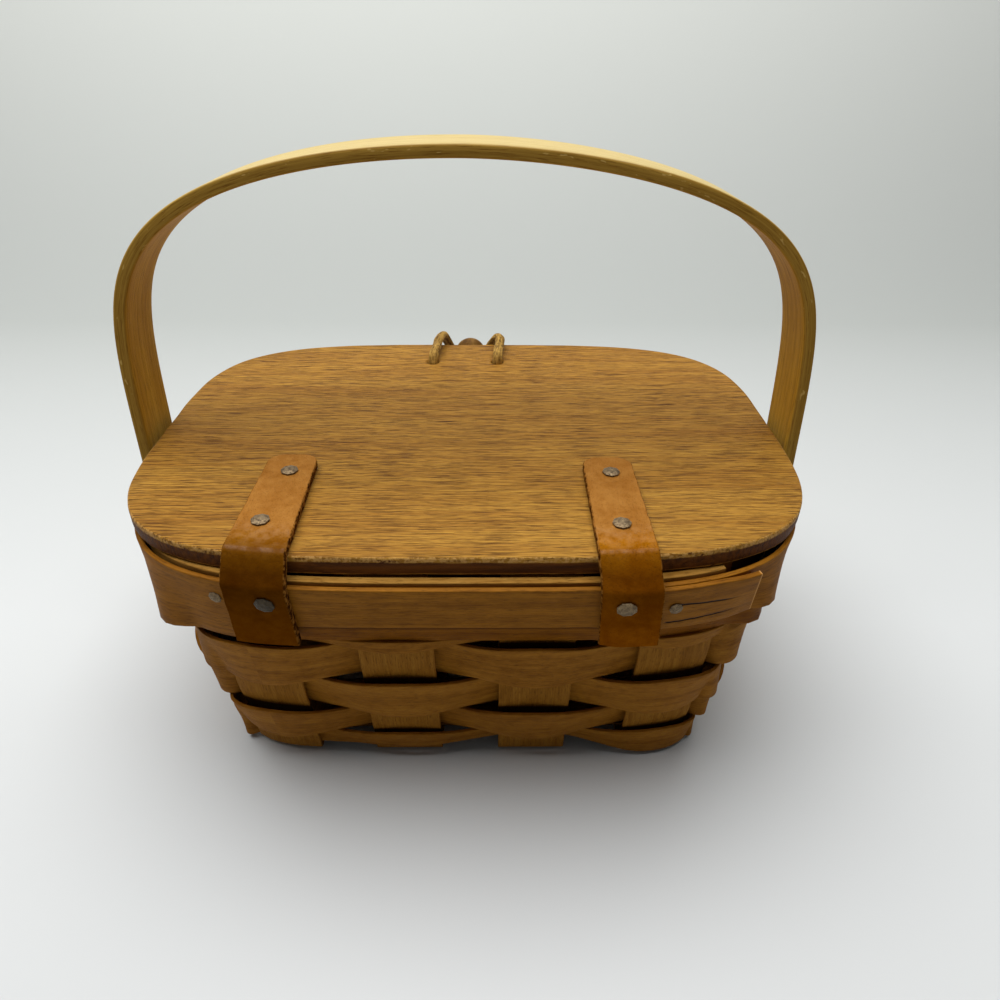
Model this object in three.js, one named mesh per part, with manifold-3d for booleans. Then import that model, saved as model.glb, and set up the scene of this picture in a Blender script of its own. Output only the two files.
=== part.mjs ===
// Lidded picnic-style basket: a woven splint body, a nailed rim of bands, a one-piece wooden lid on
// two leather hinge straps, a swing handle, and a lace loop that closes over a front knob.
// Millimetres, +Z up. The hinge side faces -Y and the knob side faces +Y. The floor is at z = 0.
import * as THREE from 'three';
import { mergeVertices } from 'three/addons/utils/BufferGeometryUtils.js';
import Module from 'manifold-3d';

const wasm = await Module();
wasm.setup();

// Driving dimensions, lid
const lidThickness = 6.35;
const lidEndOverhang = 7.2;        // past the wall's middle surface at the rim, at each end
const lidSideOverhang = 3.3;       // and along each long side
const lidSquareness = 3.9;         // superellipse exponent of the lid's outline
const lidSetForward = 2.6;         // the lid sits this far forward of the basket's middle
const lidArris = 0.8;
const laceHoleRadius = 2.9;
const laceHoleLeftX = -18;
const laceHoleRightX = 10.5;
const laceHoleInset = 21.2;        // from the lid's front edge

// Driving dimensions, woven body
const clearance = 0.3;             // between pieces that lie on each other
const splintWidth = 24.6;
const splintThickness = 1.2;
const crossSplintInset = 6.3;      // the outer ones' sides stand this far in from the floor's ends
const longSplintInset = 10.2;      // and from its long sides
const weaverThickness = 1.2;
const rowHeights = [7.2, 13.8, 17.1, 18.5, 3];  // from the floor up; the last is half hidden
const rowGap = 0.6;
const firstRowLift = 3.65;         // the lowest row starts this far above the splints' bend
const firstRowDip = 4;             // and reaches this much lower round the corners
const tiltHeight = 14;             // rows lower than this tilt and flare less

// How far a weaver stands past its seat on a splint, at its lower and at its upper edge
const weaverOutEdge = [0, 1.9];    // in front of a splint, at the splint's edges
const weaverOutPeak = [1.1, 3.5];  // and at the splint's middle
const weaverInEdge = [1.1, 0];     // behind a splint, at the splint's edges
const weaverInPeak = [1.7, 0.5];   // and at the splint's middle
const rowFlare = 4;                // a row's lower edge stands off this much at a corner
const bandFlare = 5;               // and the outer and the under band's
const weaverMargin = 0.9;          // stations this far past a splint's edges
const splintTopDrop = 0.8;         // splints stop this far below the rim's top
const floorBend = 2.5;             // radius where a splint turns up from the floor
const crossingMargin = 0.4;        // a splint stays flat this far past a crossing one

// The wall's middle surface is a superellipse that grows from the floor to the rim
const floorHalfLength = 87;
const floorHalfDepth = 62;
const floorSquareness = 7.2;
const rimHalfLength = 106;
const rimHalfDepth = 79;
const rimSquareness = 3.9;

// Four splints run front to back and three end to end, spread over the floor
const crossSplintSpacing = (floorHalfLength - crossSplintInset - splintWidth / 2) / 1.5;
const longSplintSpacing = floorHalfDepth - longSplintInset - splintWidth / 2;

// Driving dimensions, rim
const innerBandThickness = 2.5;
const innerBandHeight = 19;
const underBandThickness = 1.4;
const underBandHeight = 21.65;
const fillerThickness = 2.4;
const fillerHeight = 6.3;
const outerBandThickness = 1.6;
const outerBandHeight = 19;
const outerBandDrop = 0.75;        // the outer band's top lies this far below the lid's underside
const outerBandLean = 1.1;         // its top edge stands this far off the filler
const bandStartX = 50;             // where the covered end of the outer band starts, hinge side
const bandEndX = 84;               // where its showing end stops
const bandLapRise = 12;            // length over which the band climbs onto its own start
const bandEndLift = 1.2;           // the showing end curls out by this much
const fillerEndX = 76.5;           // the filler's cut end
const fillerStartInset = 4.5;      // its covered start stands this far in from the rim's end

// Driving dimensions, handle
const pivotDrop = 21.5;            // pivot below the lid's top
const handleWidth = 23;
const handleThickness = 4.2;
const legGap = 3.1;                // between the lid's end and a leg
const archRise = 117.3;            // pivot to the middle of the crown
const archTopRoundness = [1.8, 2.06];       // exponents of the arch's superellipse, right and left
const archLegStraightness = [5.8, 5.2];
const archSkew = -1.95;            // the crown stands this far off the middle along X
const crownTwist = 3.6;            // degrees by which the strip is levelled at the crown
const handleLean = 4.2;            // degrees, the rest pose leans to the knob side

// Driving dimensions, leather, lace, knob and metal
const strapThickness = 2.8;
const strapLeftX = -59.5;
const strapRightX = 47.2;
const strapTopWidth = 16.6;
const strapLeftLowWidth = 20;
const strapRightLowWidth = 18.2;
const strapCornerRadius = 5;       // of the tip's two corners
const strapLeftReach = 54.5;       // from the lid's hinge edge to the strap's tip
const strapRightReach = 52.4;
const strapLeftDrop = 26.2;        // from the outer band's top to the strap's lower end
const strapRightDrop = 24.7;
const strapLeftSplay = -1.5;       // sideways shift of the lower end
const strapRightSplay = 2.9;
const nailLeftUpper = 11.3;        // nails, from the strap's tip
const nailLeftLower = 40.2;
const nailRightUpper = 10.2;
const nailRightLower = 39.9;
const nailHeadRadius = 2.9;
const nailShankRadius = 0.9;
const rivetHeadRadius = 3.1;
const rivetShankRadius = 1.2;
const rivetLeftDrop = 4.8;         // below the outer band's top
const rivetRightDrop = 4;
const rivetLeftAside = 2.5;        // from the strap's middle line at the tip
const rivetRightAside = -0.4;
const tackHeadRadius = 2.1;
const tackShankRadius = 0.7;
const tackDrop = 3.9;              // below the outer band's top
const endTackInset = 3.5;          // tacks stand this far in from the outer splints' middles
const farTackInset = 6.4;
const hingeTackLeftGap = 0.9;      // from the strap's side to a tack's head
const hingeTackRightGap = 3;
const hingeTackLeftDrop = 7.6;
const hingeTackRightDrop = 8.4;
const tackSeat = 0.1;              // a tack's head stands this far off what is under it
const holeClearance = 0.3;         // round every shank
const pivotRivetRadius = 2.5;
const pivotHeadRadius = 6;
const spacerRadius = 9;
const knobX = -2.5;
const knobDrop = 12;               // knob axis below the lid's top
const knobStemRadius = 3.9;
const knobHeadRadius = 7.2;
const knobHeadLength = 6;
const knobLength = 24;             // from the rim's face to the knob's end
const screwRadius = 1.5;
const screwHeadRadius = 3.4;
const laceRadius = 2;
const knotRadius = 4.2;
const laceLoopDrop = 18.6;         // the loop's lowest point below the lid's top

// Sides of the round pieces and steps of the curved ones
const roundSides = 12;
const smallSides = 6;
const smallRound = 1.6;            // holes up to this radius get the fewer sides
const outlineSteps = 720;
const lidOutlineSteps = 96;

const deg = Math.PI / 180;
const lerp = (a, b, t) => a + (b - a) * t;
const smooth = (t) => { const c = Math.min(1, Math.max(0, t)); return c * c * (3 - 2 * c); };

// Heights that follow from the driving dimensions, from the floor up
const weaveStep = (splintThickness + clearance) / 2;
const floorMiddle = splintThickness / 2 + weaveStep;
const firstRowBottom = floorMiddle + floorBend + firstRowLift;
const rows = rowHeights.map((height, row) => {
  const below = rowHeights.slice(0, row).reduce((sum, each) => sum + each + rowGap, 0);
  return { bottom: firstRowBottom + below, top: firstRowBottom + below + height };
});
const underBandBottom = rows[rows.length - 1].top + rowGap;
const underBandTop = underBandBottom + underBandHeight;
const fillerBottom = underBandTop + clearance;
const rimTop = fillerBottom + fillerHeight;
const splintTop = rimTop - splintTopDrop;
const lidUnderside = rimTop + clearance;
const lidTopHeight = lidUnderside + lidThickness;
const outerBandTop = lidUnderside - outerBandDrop;
const outerBandBottom = outerBandTop - outerBandHeight;
const pivotHeight = lidTopHeight - pivotDrop;

// The lid covers the rim, and the handle's legs stand clear of the lid's ends
const lidHalfLength = rimHalfLength + lidEndOverhang;
const lidHalfDepth = rimHalfDepth + lidSideOverhang;
const archHalfWidth = lidHalfLength + legGap + handleThickness / 2;
const hingeEdgeY = lidSetForward - lidHalfDepth;
const strapLeftTipY = hingeEdgeY + strapLeftReach;
const strapRightTipY = hingeEdgeY + strapRightReach;

// Distances of the layers from the wall's middle surface, positive outwards
const innerBandOffset = -(splintThickness + innerBandThickness) / 2 - clearance;
const outsideSplint = splintThickness / 2 + clearance;
const underBandOffset = outsideSplint + underBandThickness / 2;
const fillerOffset = outsideSplint + fillerThickness / 2;
const bandTopOffset = outsideSplint + fillerThickness + outerBandLean + outerBandThickness / 2;
const bandLowOffset = outsideSplint + underBandThickness + clearance + outerBandThickness / 2;
const bandLap = outerBandThickness + clearance;

// The wall leans out, so the inner band's inner arris is its highest line
const wallLean = Math.atan((rimHalfDepth - floorHalfDepth) / rimTop);
const innerBandTop = rimTop
  - Math.sin(wallLean) * (innerBandThickness / 2 - innerBandOffset);

// Size and squareness of the wall's middle surface at height z
function wallSize(z) {
  const t = z / rimTop;
  return {
    a: lerp(floorHalfLength, rimHalfLength, t),
    b: lerp(floorHalfDepth, rimHalfDepth, t),
    n: lerp(floorSquareness, rimSquareness, t),
  };
}

// How far the wall stands out along Y at length position x, and along X at depth position y
function wallY(x, z) {
  const { a, b, n } = wallSize(z);
  return b * (1 - Math.abs(x / a) ** n) ** (1 / n);
}
function wallX(y, z) {
  const { a, b, n } = wallSize(z);
  return a * (1 - Math.abs(y / b) ** n) ** (1 / n);
}

// The splints' places, anticlockwise from the hinge side's left: each is [x, y] on the floor plan
const crossX = [-1.5, -0.5, 0.5, 1.5].map((k) => k * crossSplintSpacing);
const longY = [-1, 0, 1].map((k) => k * longSplintSpacing);
const splintPlaces = [
  ...crossX.map((x) => ({ x, side: -1 })),
  ...longY.map((y) => ({ y, side: 1 })),
  ...[...crossX].reverse().map((x) => ({ x, side: 1 })),
  ...[...longY].reverse().map((y) => ({ y, side: -1 })),
];

// The wall's outline at height z as points with running arc length, anticlockwise from +X
function makeOutline(z) {
  const { a, b, n } = wallSize(z);
  const points = [];
  const lengths = [0];
  for (let k = 0; k <= outlineSteps; k += 1) {
    const angle = (k / outlineSteps) * 2 * Math.PI;
    const c = Math.cos(angle);
    const s = Math.sin(angle);
    const r = (Math.abs(c / a) ** n + Math.abs(s / b) ** n) ** (-1 / n);
    points.push(new THREE.Vector3(r * c, r * s, z));
    if (k > 0) lengths.push(lengths[k - 1] + points[k].distanceTo(points[k - 1]));
  }
  return { points, lengths, total: lengths[outlineSteps] };
}

// Arc length of the outline at a plan position
function arcOf(outline, x, y) {
  const turn = (Math.atan2(y, x) / (2 * Math.PI) + 1) % 1;
  const at = turn * outlineSteps;
  const k = Math.min(Math.floor(at), outlineSteps - 1);
  return lerp(outline.lengths[k], outline.lengths[k + 1], at - k);
}

// Point of the outline at an arc length, which may run past the full turn
function pointAt(outline, arc) {
  const wanted = ((arc % outline.total) + outline.total) % outline.total;
  let low = 0;
  let high = outlineSteps;
  while (high - low > 1) {
    const middle = (low + high) >> 1;
    if (outline.lengths[middle] <= wanted) low = middle;
    else high = middle;
  }
  const t = (wanted - outline.lengths[low]) / (outline.lengths[high] - outline.lengths[low]);
  return outline.points[low].clone().lerp(outline.points[high], t);
}

// Arc positions of all splints on an outline, rising from the first one
function splintArcs(z, outline) {
  const arcs = splintPlaces.map(({ x, y, side }) => (
    x === undefined ? arcOf(outline, side * wallX(y, z), y) : arcOf(outline, x, side * wallY(x, z))
  ));
  for (let i = 1; i < arcs.length; i += 1) {
    while (arcs[i] < arcs[i - 1]) arcs[i] += outline.total;
  }
  return arcs;
}

// A closed body from an array of points and the half thickness along each point's normal.
// grid[i][j] holds { p, n }, i runs along the strip and closes on itself when closed is true.
function plate(grid, thickness, closed) {
  const rowsCount = grid.length;
  const columns = grid[0].length;
  const positions = [];
  const index = [];
  for (const side of [0.5, -0.5]) {
    for (const line of grid) {
      for (const { p, n } of line) {
        positions.push(...p.clone().addScaledVector(n, side * thickness).toArray());
      }
    }
  }
  const id = (side, i, j) => side * rowsCount * columns + (i % rowsCount) * columns + j;
  const quad = (a, b, c, d) => index.push(a, b, c, a, c, d);
  const lastRow = closed ? rowsCount : rowsCount - 1;
  for (let i = 0; i < lastRow; i += 1) {
    for (let j = 0; j < columns - 1; j += 1) {
      quad(id(0, i, j), id(0, i + 1, j), id(0, i + 1, j + 1), id(0, i, j + 1));
      quad(id(1, i, j), id(1, i, j + 1), id(1, i + 1, j + 1), id(1, i + 1, j));
    }
    const end = columns - 1;
    quad(id(0, i, 0), id(1, i, 0), id(1, i + 1, 0), id(0, i + 1, 0));
    quad(id(0, i, end), id(0, i + 1, end), id(1, i + 1, end), id(1, i, end));
  }
  if (!closed) {
    const end = rowsCount - 1;
    for (let j = 0; j < columns - 1; j += 1) {
      quad(id(0, 0, j), id(0, 0, j + 1), id(1, 0, j + 1), id(1, 0, j));
      quad(id(0, end, j), id(1, end, j), id(1, end, j + 1), id(0, end, j + 1));
    }
  }
  const geometry = new THREE.BufferGeometry();
  geometry.setAttribute('position', new THREE.Float32BufferAttribute(positions, 3));
  geometry.setIndex(index);
  return geometry;
}

// Normals of a grid of points from its neighbours: along the strip crossed with across it
function withNormals(points, closed) {
  const count = points.length;
  const columns = points[0].length;
  return points.map((line, i) => line.map((p, j) => {
    const before = points[closed ? (i + count - 1) % count : Math.max(i - 1, 0)][j];
    const after = points[closed ? (i + 1) % count : Math.min(i + 1, count - 1)][j];
    const low = line[Math.max(j - 1, 0)];
    const high = line[Math.min(j + 1, columns - 1)];
    const n = after.clone().sub(before).cross(high.clone().sub(low)).normalize();
    return { p, n };
  }));
}

// Solids as manifolds, for drilling and trimming
function toSolid(geometry) {
  const bare = geometry.clone();
  bare.deleteAttribute('normal');
  bare.deleteAttribute('uv');
  const merged = mergeVertices(bare, 1e-5);
  return new wasm.Manifold(new wasm.Mesh({
    numProp: 3,
    vertProperties: new Float32Array(merged.attributes.position.array),
    triVerts: new Uint32Array(merged.index.array),
  }));
}
function toGeometry(solid) {
  const mesh = solid.getMesh();
  const geometry = new THREE.BufferGeometry();
  geometry.setAttribute('position', new THREE.Float32BufferAttribute(mesh.vertProperties, 3));
  geometry.setIndex(Array.from(mesh.triVerts));
  return geometry;
}

// Cuts round holes, each { at, along, radius }, through a geometry
const drillReach = 14;
const sidesOf = (radius) => (radius > smallRound ? roundSides : smallSides);
function drill(geometry, holes) {
  let solid = toSolid(geometry);
  for (const { at, along, radius, reach = drillReach } of holes) {
    const tool = new THREE.CylinderGeometry(radius, radius, 2 * reach, sidesOf(radius));
    const turn = new THREE.Quaternion().setFromUnitVectors(new THREE.Vector3(0, 1, 0), along);
    tool.applyQuaternion(turn).translate(at.x, at.y, at.z);
    solid = solid.subtract(toSolid(tool));
  }
  return toGeometry(solid);
}

const part = new THREE.Group();
const basket = new THREE.Group();
part.add(basket);

const colours = {
  splint: { color: 0xb07a3c, roughness: 0.6, metalness: 0 },
  band: { color: 0xa8743a, roughness: 0.55, metalness: 0 },
  lid: { color: 0xa9712f, roughness: 0.45, metalness: 0 },
  handle: { color: 0xc39a52, roughness: 0.45, metalness: 0 },
  leather: { color: 0xa8622a, roughness: 0.5, metalness: 0 },
  lace: { color: 0xb5924a, roughness: 0.7, metalness: 0 },
  steel: { color: 0x7d7c78, roughness: 0.4, metalness: 0.9 },
  turned: { color: 0xb58a52, roughness: 0.5, metalness: 0 },
};
function addPiece(name, geometry, finish, holder = basket) {
  const mesh = new THREE.Mesh(geometry, new THREE.MeshStandardMaterial(colours[finish]));
  mesh.name = name;
  holder.add(mesh);
  return mesh;
}

// Fasteners go through the rim along a line square to the wall. Each place is found from a plan
// position on the wall's middle surface and a height, and the direction points out of the basket.
function longWallPlace(x, side, z) {
  const step = 0.5;
  const at = new THREE.Vector3(x, side * wallY(x, z), z);
  const across = new THREE.Vector3(2 * step, side * (wallY(x + step, z) - wallY(x - step, z)), 0);
  const up = new THREE.Vector3(0, side * (wallY(x, z + step) - wallY(x, z - step)), 2 * step);
  const out = across.cross(up).normalize().multiplyScalar(-side);
  return { at, along: out };
}
function endWallPlace(y, side, z) {
  const step = 0.5;
  const at = new THREE.Vector3(side * wallX(y, z), y, z);
  const across = new THREE.Vector3(side * (wallX(y + step, z) - wallX(y - step, z)), 2 * step, 0);
  const up = new THREE.Vector3(side * (wallX(y, z + step) - wallX(y, z - step)), 0, 2 * step);
  const out = across.cross(up).normalize().multiplyScalar(side);
  return { at, along: out };
}

// Levels of the wall: an outline with the arc positions of the splints on it. A place round the
// basket is counted in splints, so 0 to 14 is once round, starting at the hinge side's left.
const splintCount = splintPlaces.length;
function makeLevel(z) {
  const outline = makeOutline(z);
  return { z, outline, arcs: splintArcs(z, outline) };
}
function arcAt(level, place) {
  const turns = Math.floor(place / splintCount);
  const rest = place - turns * splintCount;
  const i = Math.floor(rest);
  const next = i === splintCount - 1 ? level.arcs[0] + level.outline.total : level.arcs[i + 1];
  return lerp(level.arcs[i], next, rest - i) + turns * level.outline.total;
}
function hingeSidePlace(level, x) {
  let arc = arcOf(level.outline, x, -wallY(x, level.z));
  while (arc < level.arcs[0]) arc += level.outline.total;
  let i = 0;
  while (i < splintCount - 1 && level.arcs[i + 1] <= arc) i += 1;
  const next = i === splintCount - 1 ? level.arcs[0] + level.outline.total : level.arcs[i + 1];
  return i + (arc - level.arcs[i]) / (next - level.arcs[i]);
}

// A strip round the basket between two heights. places are in splints; offsets(place) gives the
// strip's distance from the wall's middle surface at its lower and its upper edge, and
// dip(place) lowers the lower edge.
function bandStrip({ bottom, top, places, offsets, thickness, closed, dip = () => 0 }) {
  const low = makeLevel(bottom);
  const high = makeLevel(top);
  const points = places.map((place) => [
    pointAt(low.outline, arcAt(low, place)).setZ(bottom - dip(place)),
    pointAt(high.outline, arcAt(high, place)),
  ]);
  const grid = withNormals(points, closed).map((line, i) => {
    const [lowOffset, highOffset] = offsets(places[i]);
    return [
      { p: line[0].p.clone().addScaledVector(line[0].n, lowOffset), n: line[0].n },
      { p: line[1].p.clone().addScaledVector(line[1].n, highOffset), n: line[1].n },
    ];
  });
  return plate(grid, thickness, closed);
}

// Evenly spread places from one to another
function spread(from, to, count) {
  return Array.from({ length: count }, (_, k) => lerp(from, to, k / (count - 1)));
}
const stepsPerSplint = [5, 2, 5, 12, 4, 4, 12, 5, 2, 5, 12, 4, 4, 12];
const cornerGaps = [3, 6, 10, 13];
const wholeRound = stepsPerSplint.flatMap((steps, i) => spread(i, i + 1, steps + 1).slice(0, -1));
// The same places for a strip that starts and ends anywhere
function openRound(first, last) {
  const inside = [0, 1, 2].flatMap((turn) => wholeRound.map((place) => place + turn * splintCount))
    .filter((place) => place > first + 0.08 && place < last - 0.08);
  return [first, ...inside, last];
}

// Splints: each runs up one wall, across the floor and up the other wall. Over the floor they
// pass over and under each other, flat at each crossing.
const wallLevels = [splintTop, ...[...rows.map(({ bottom }) => bottom), underBandBottom]
  .map((z) => z - rowGap / 2).reverse().slice(0, -1)];
const bendAngles = [90, 45, 0].map((angle) => angle * deg);
const crossingHalf = splintWidth / 2 + crossingMargin;
const widthSteps = 4;

// Side view of one half of a splint from its top to the floor, as { out, z } where out is the
// distance from the basket's middle line, for a wall that stands at reach(z)
function splintWall(reach) {
  const wall = wallLevels.map((z) => ({ out: reach(z), z }));
  const foot = reach(floorMiddle + floorBend);
  const bend = bendAngles.map((angle) => ({
    out: foot - floorBend + floorBend * Math.sin(angle),
    z: floorMiddle + floorBend - floorBend * Math.cos(angle),
  }));
  return [...wall, ...bend];
}

function splintFloor(crossings, overFirst) {
  return crossings.flatMap((middle, k) => {
    const over = (k % 2 === 0) === overFirst ? 1 : -1;
    const z = floorMiddle + over * weaveStep;
    return [-1, 0, 1].map((edge) => ({ along: middle + edge * crossingHalf, z }));
  });
}

function makeSplint(middle, crossings, overFirst, reachAt, toPoint) {
  const columns = spread(-splintWidth / 2, splintWidth / 2, widthSteps + 1);
  const floor = splintFloor(crossings, overFirst);
  const lines = columns.map((across) => {
    const side = middle + across;
    const wall = splintWall((z) => reachAt(side, z));
    return [
      ...wall.map(({ out, z }) => toPoint(-out, side, z)),
      ...floor.map(({ along, z }) => toPoint(along, side, z)),
      ...[...wall].reverse().map(({ out, z }) => toPoint(out, side, z)),
    ];
  });
  const points = lines[0].map((_, i) => lines.map((line) => line[i]));
  return plate(withNormals(points, false), splintThickness, false);
}

const pieces = {};
crossX.forEach((x, k) => {
  pieces[`cross_splint_${k + 1}`] = makeSplint(x, longY, k % 2 === 0, wallY,
    (along, side, z) => new THREE.Vector3(side, along, z));
});
longY.forEach((y, k) => {
  pieces[`long_splint_${k + 1}`] = makeSplint(-y, crossX, k % 2 === 1, wallX,
    (along, side, z) => new THREE.Vector3(along, -side, z));
});

// Weaver rows: each swings outside one splint and inside the next. It is furthest from the wall at
// the middle of a splint, just clears the splint's edges, and runs straight between two splints.
// Its upper edge leans out over the next row, and at the corners its lower edge stands off.
const weaverSeat = (splintThickness + weaverThickness) / 2 + clearance;
function splintReach(level, i) {
  const { x, y, side } = splintPlaces[i];
  const half = splintWidth / 2 + weaverMargin;
  const forward = (x === undefined) === (side === 1) ? 1 : -1;
  const arcBeside = (shift) => (x === undefined
    ? arcOf(level.outline, side * wallX(y + shift, level.z), y + shift)
    : arcOf(level.outline, x + shift, side * wallY(x + shift, level.z)));
  const { total } = level.outline;
  const wrap = (arc) => ((arc % total) + total) % total;
  return {
    ahead: wrap(arcBeside(forward * half) - level.arcs[i]),
    back: wrap(level.arcs[i] - arcBeside(-forward * half)),
  };
}
// Where the corner gap after splint i lies free of both its splints, as shares of the gap
function freeGap(level, i) {
  const gap = arcAt(level, i + 1) - arcAt(level, i);
  const edge = splintReach(level, i).ahead / gap;
  const nextEdge = splintReach(level, (i + 1) % splintCount).back / gap;
  return { edge, nextEdge };
}
// 0 at and between the splints of a side, rising to 1 at the middle of each corner
function cornerShare(level, place) {
  const turn = ((place % splintCount) + splintCount) % splintCount;
  const i = Math.floor(turn);
  if (!cornerGaps.includes(i)) return 0;
  const { edge, nextEdge } = freeGap(level, i);
  const share = (turn - i - edge) / (1 - edge - nextEdge);
  return share > 0 && share < 1 ? Math.sin(Math.PI * share) ** 2 : 0;
}
function makeWeaver(row, firstOut, cornerDip) {
  const level = makeLevel(row.bottom);
  const full = Math.min(1, (row.top - row.bottom) / tiltHeight);
  const flare = rowFlare * full;
  const stand = ([low, high], sign) => (sign > 0
    ? [weaverSeat + low, weaverSeat + low + (high - low) * full]
    : [-weaverSeat - high - (low - high) * full, -weaverSeat - high]);
  const edgeStand = (sign) => stand(sign > 0 ? weaverOutEdge : weaverInEdge, sign);
  const peakStand = (sign) => stand(sign > 0 ? weaverOutPeak : weaverInPeak, sign);
  const between = (from, to, share) => from.map((value, k) => lerp(value, to[k], share));
  const stations = [];
  for (let i = 0; i < splintCount; i += 1) {
    const { edge, nextEdge } = freeGap(level, i);
    const sign = (i % 2 === 0) === firstOut ? 1 : -1;
    [0, 0.5, 1].forEach((share) => {
      const offset = between(peakStand(sign), edgeStand(sign), share ** 2);
      stations.push({ place: i + edge * share, offset });
    });
    const inner = cornerGaps.includes(i) ? 8 : 3;
    spread(0, 1, inner + 1).slice(1, -1).forEach((share) => {
      const place = i + lerp(edge, 1 - nextEdge, share);
      const [low, high] = between(edgeStand(sign), edgeStand(-sign), share);
      stations.push({ place, offset: [low + flare * cornerShare(level, place), high] });
    });
    [1, 0.5].forEach((share) => {
      const offset = between(peakStand(-sign), edgeStand(-sign), share ** 2);
      stations.push({ place: i + 1 - nextEdge * share, offset });
    });
  }
  const offsetAt = new Map(stations.map(({ place, offset }) => [place, offset]));
  return bandStrip({
    bottom: row.bottom,
    top: row.top,
    places: stations.map(({ place }) => place),
    offsets: (place) => offsetAt.get(place),
    dip: (place) => cornerDip * cornerShare(level, place),
    thickness: weaverThickness,
    closed: true,
  });
}
rows.forEach((row, k) => {
  pieces[`weaver_${k + 1}`] = makeWeaver(row, k % 2 === 1, k === 0 ? firstRowDip : 0);
});

// Rim: a wide under band outside all splints, an inner band, a filler strip on the under band,
// and an outer band that laps over its own start on the hinge side
const underBandLevel = makeLevel(underBandBottom);
const outerBandLevel = makeLevel(outerBandBottom);
pieces.under_band = bandStrip({
  bottom: underBandBottom,
  top: underBandTop,
  places: wholeRound,
  offsets: (place) => [
    underBandOffset + bandFlare * cornerShare(underBandLevel, place),
    underBandOffset,
  ],
  thickness: underBandThickness,
  closed: true,
});
pieces.inner_band = bandStrip({
  bottom: innerBandTop - innerBandHeight,
  top: innerBandTop,
  places: wholeRound,
  offsets: () => [innerBandOffset, innerBandOffset],
  thickness: innerBandThickness,
  closed: true,
});
const rimLevel = makeLevel(outerBandTop);
const fillerFirst = hingeSidePlace(rimLevel, rimHalfLength - fillerStartInset);
const fillerLast = splintCount + hingeSidePlace(rimLevel, fillerEndX);
pieces.filler_strip = bandStrip({
  bottom: fillerBottom,
  top: rimTop,
  places: openRound(fillerFirst, fillerLast),
  offsets: () => [fillerOffset, fillerOffset],
  thickness: fillerThickness,
  closed: false,
});

const bandFirst = hingeSidePlace(rimLevel, bandStartX);
const bandLast = splintCount + hingeSidePlace(rimLevel, bandEndX);
const lapStart = splintCount + hingeSidePlace(rimLevel, bandStartX - bandLapRise);
const lapFull = splintCount + bandFirst - 0.05;
const endCurl = bandLast - 0.25;
function bandOffsets(place) {
  const lap = bandLap * smooth((place - lapStart) / (lapFull - lapStart));
  const lift = bandEndLift * smooth((place - endCurl) / (bandLast - endCurl));
  const flare = bandFlare * cornerShare(outerBandLevel, place);
  return [bandLowOffset + lap + flare, bandTopOffset + lap + lift];
}
const lapStations = spread(lapStart, lapFull, 6);
const bandStations = [...openRound(bandFirst, bandLast), ...lapStations].sort((a, b) => a - b);
pieces.outer_band = bandStrip({
  bottom: outerBandBottom,
  top: outerBandTop,
  places: bandStations,
  offsets: bandOffsets,
  thickness: outerBandThickness,
  closed: false,
});

// The outer band's outer face on the hinge side at position x, as its top edge and its direction
// down the face, seen along X
function bandFace(x) {
  const place = hingeSidePlace(rimLevel, x);
  const lapped = x > bandStartX - bandLapRise ? splintCount : 0;
  const [lowOffset, highOffset] = bandOffsets(place + lapped);
  const half = outerBandThickness / 2;
  const top = { y: -wallY(x, outerBandTop) - highOffset - half, z: outerBandTop };
  const low = { y: -wallY(x, outerBandBottom) - lowOffset - half, z: outerBandBottom };
  return { top, low };
}

// Rounded stretch of a side view: points round a centre between two angles
function arcPoints(centre, radius, from, to, count) {
  return spread(from, to, count).map((angle) => ({
    y: centre.y + radius * Math.cos(angle),
    z: centre.z + radius * Math.sin(angle),
  }));
}

// Leather hinge strap: flat on the lid from its rounded end, over the lid's edge, over the top
// edge of the outer band and down its face. Seen along X it is a run of { y, z } points.
const strapCover = clearance + strapThickness / 2;
const strapTipShares = [0.05, 0.25, 0.55, 1, 3.6];
function lidEdgeY(x) {
  const share = (1 - Math.abs(x / lidHalfLength) ** lidSquareness) ** (1 / lidSquareness);
  return lidSetForward - lidHalfDepth * share;
}
function strapSide(x, { tipY, drop }) {
  const arris = { y: lidEdgeY(x), z: lidTopHeight };
  const { top, low } = bandFace(x);
  const fall = Math.hypot(low.y - top.y, low.z - top.z);
  const down = { y: (low.y - top.y) / fall, z: (low.z - top.z) / fall };
  const squareTo = (dy, dz) => (Math.atan2(dz, dy) - Math.PI / 2 + 2 * Math.PI) % (2 * Math.PI);
  const slope = squareTo(top.y - arris.y, top.z - arris.z);
  const face = squareTo(down.y, down.z);
  const onLid = strapTipShares.map((share) => ({
    y: tipY - share * strapCornerRadius,
    z: lidTopHeight + strapCover,
  }));
  const overLid = arcPoints(arris, strapCover, Math.PI / 2, slope, 4);
  const overBand = arcPoints(top, strapCover, slope, face, 4);
  const last = overBand[overBand.length - 1];
  const downBand = [0.5, 1].map((share) => ({
    y: last.y + down.y * drop * share,
    z: last.z + down.z * drop * share,
  }));
  return [...onLid, ...overLid, ...overBand, ...downBand];
}
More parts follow.
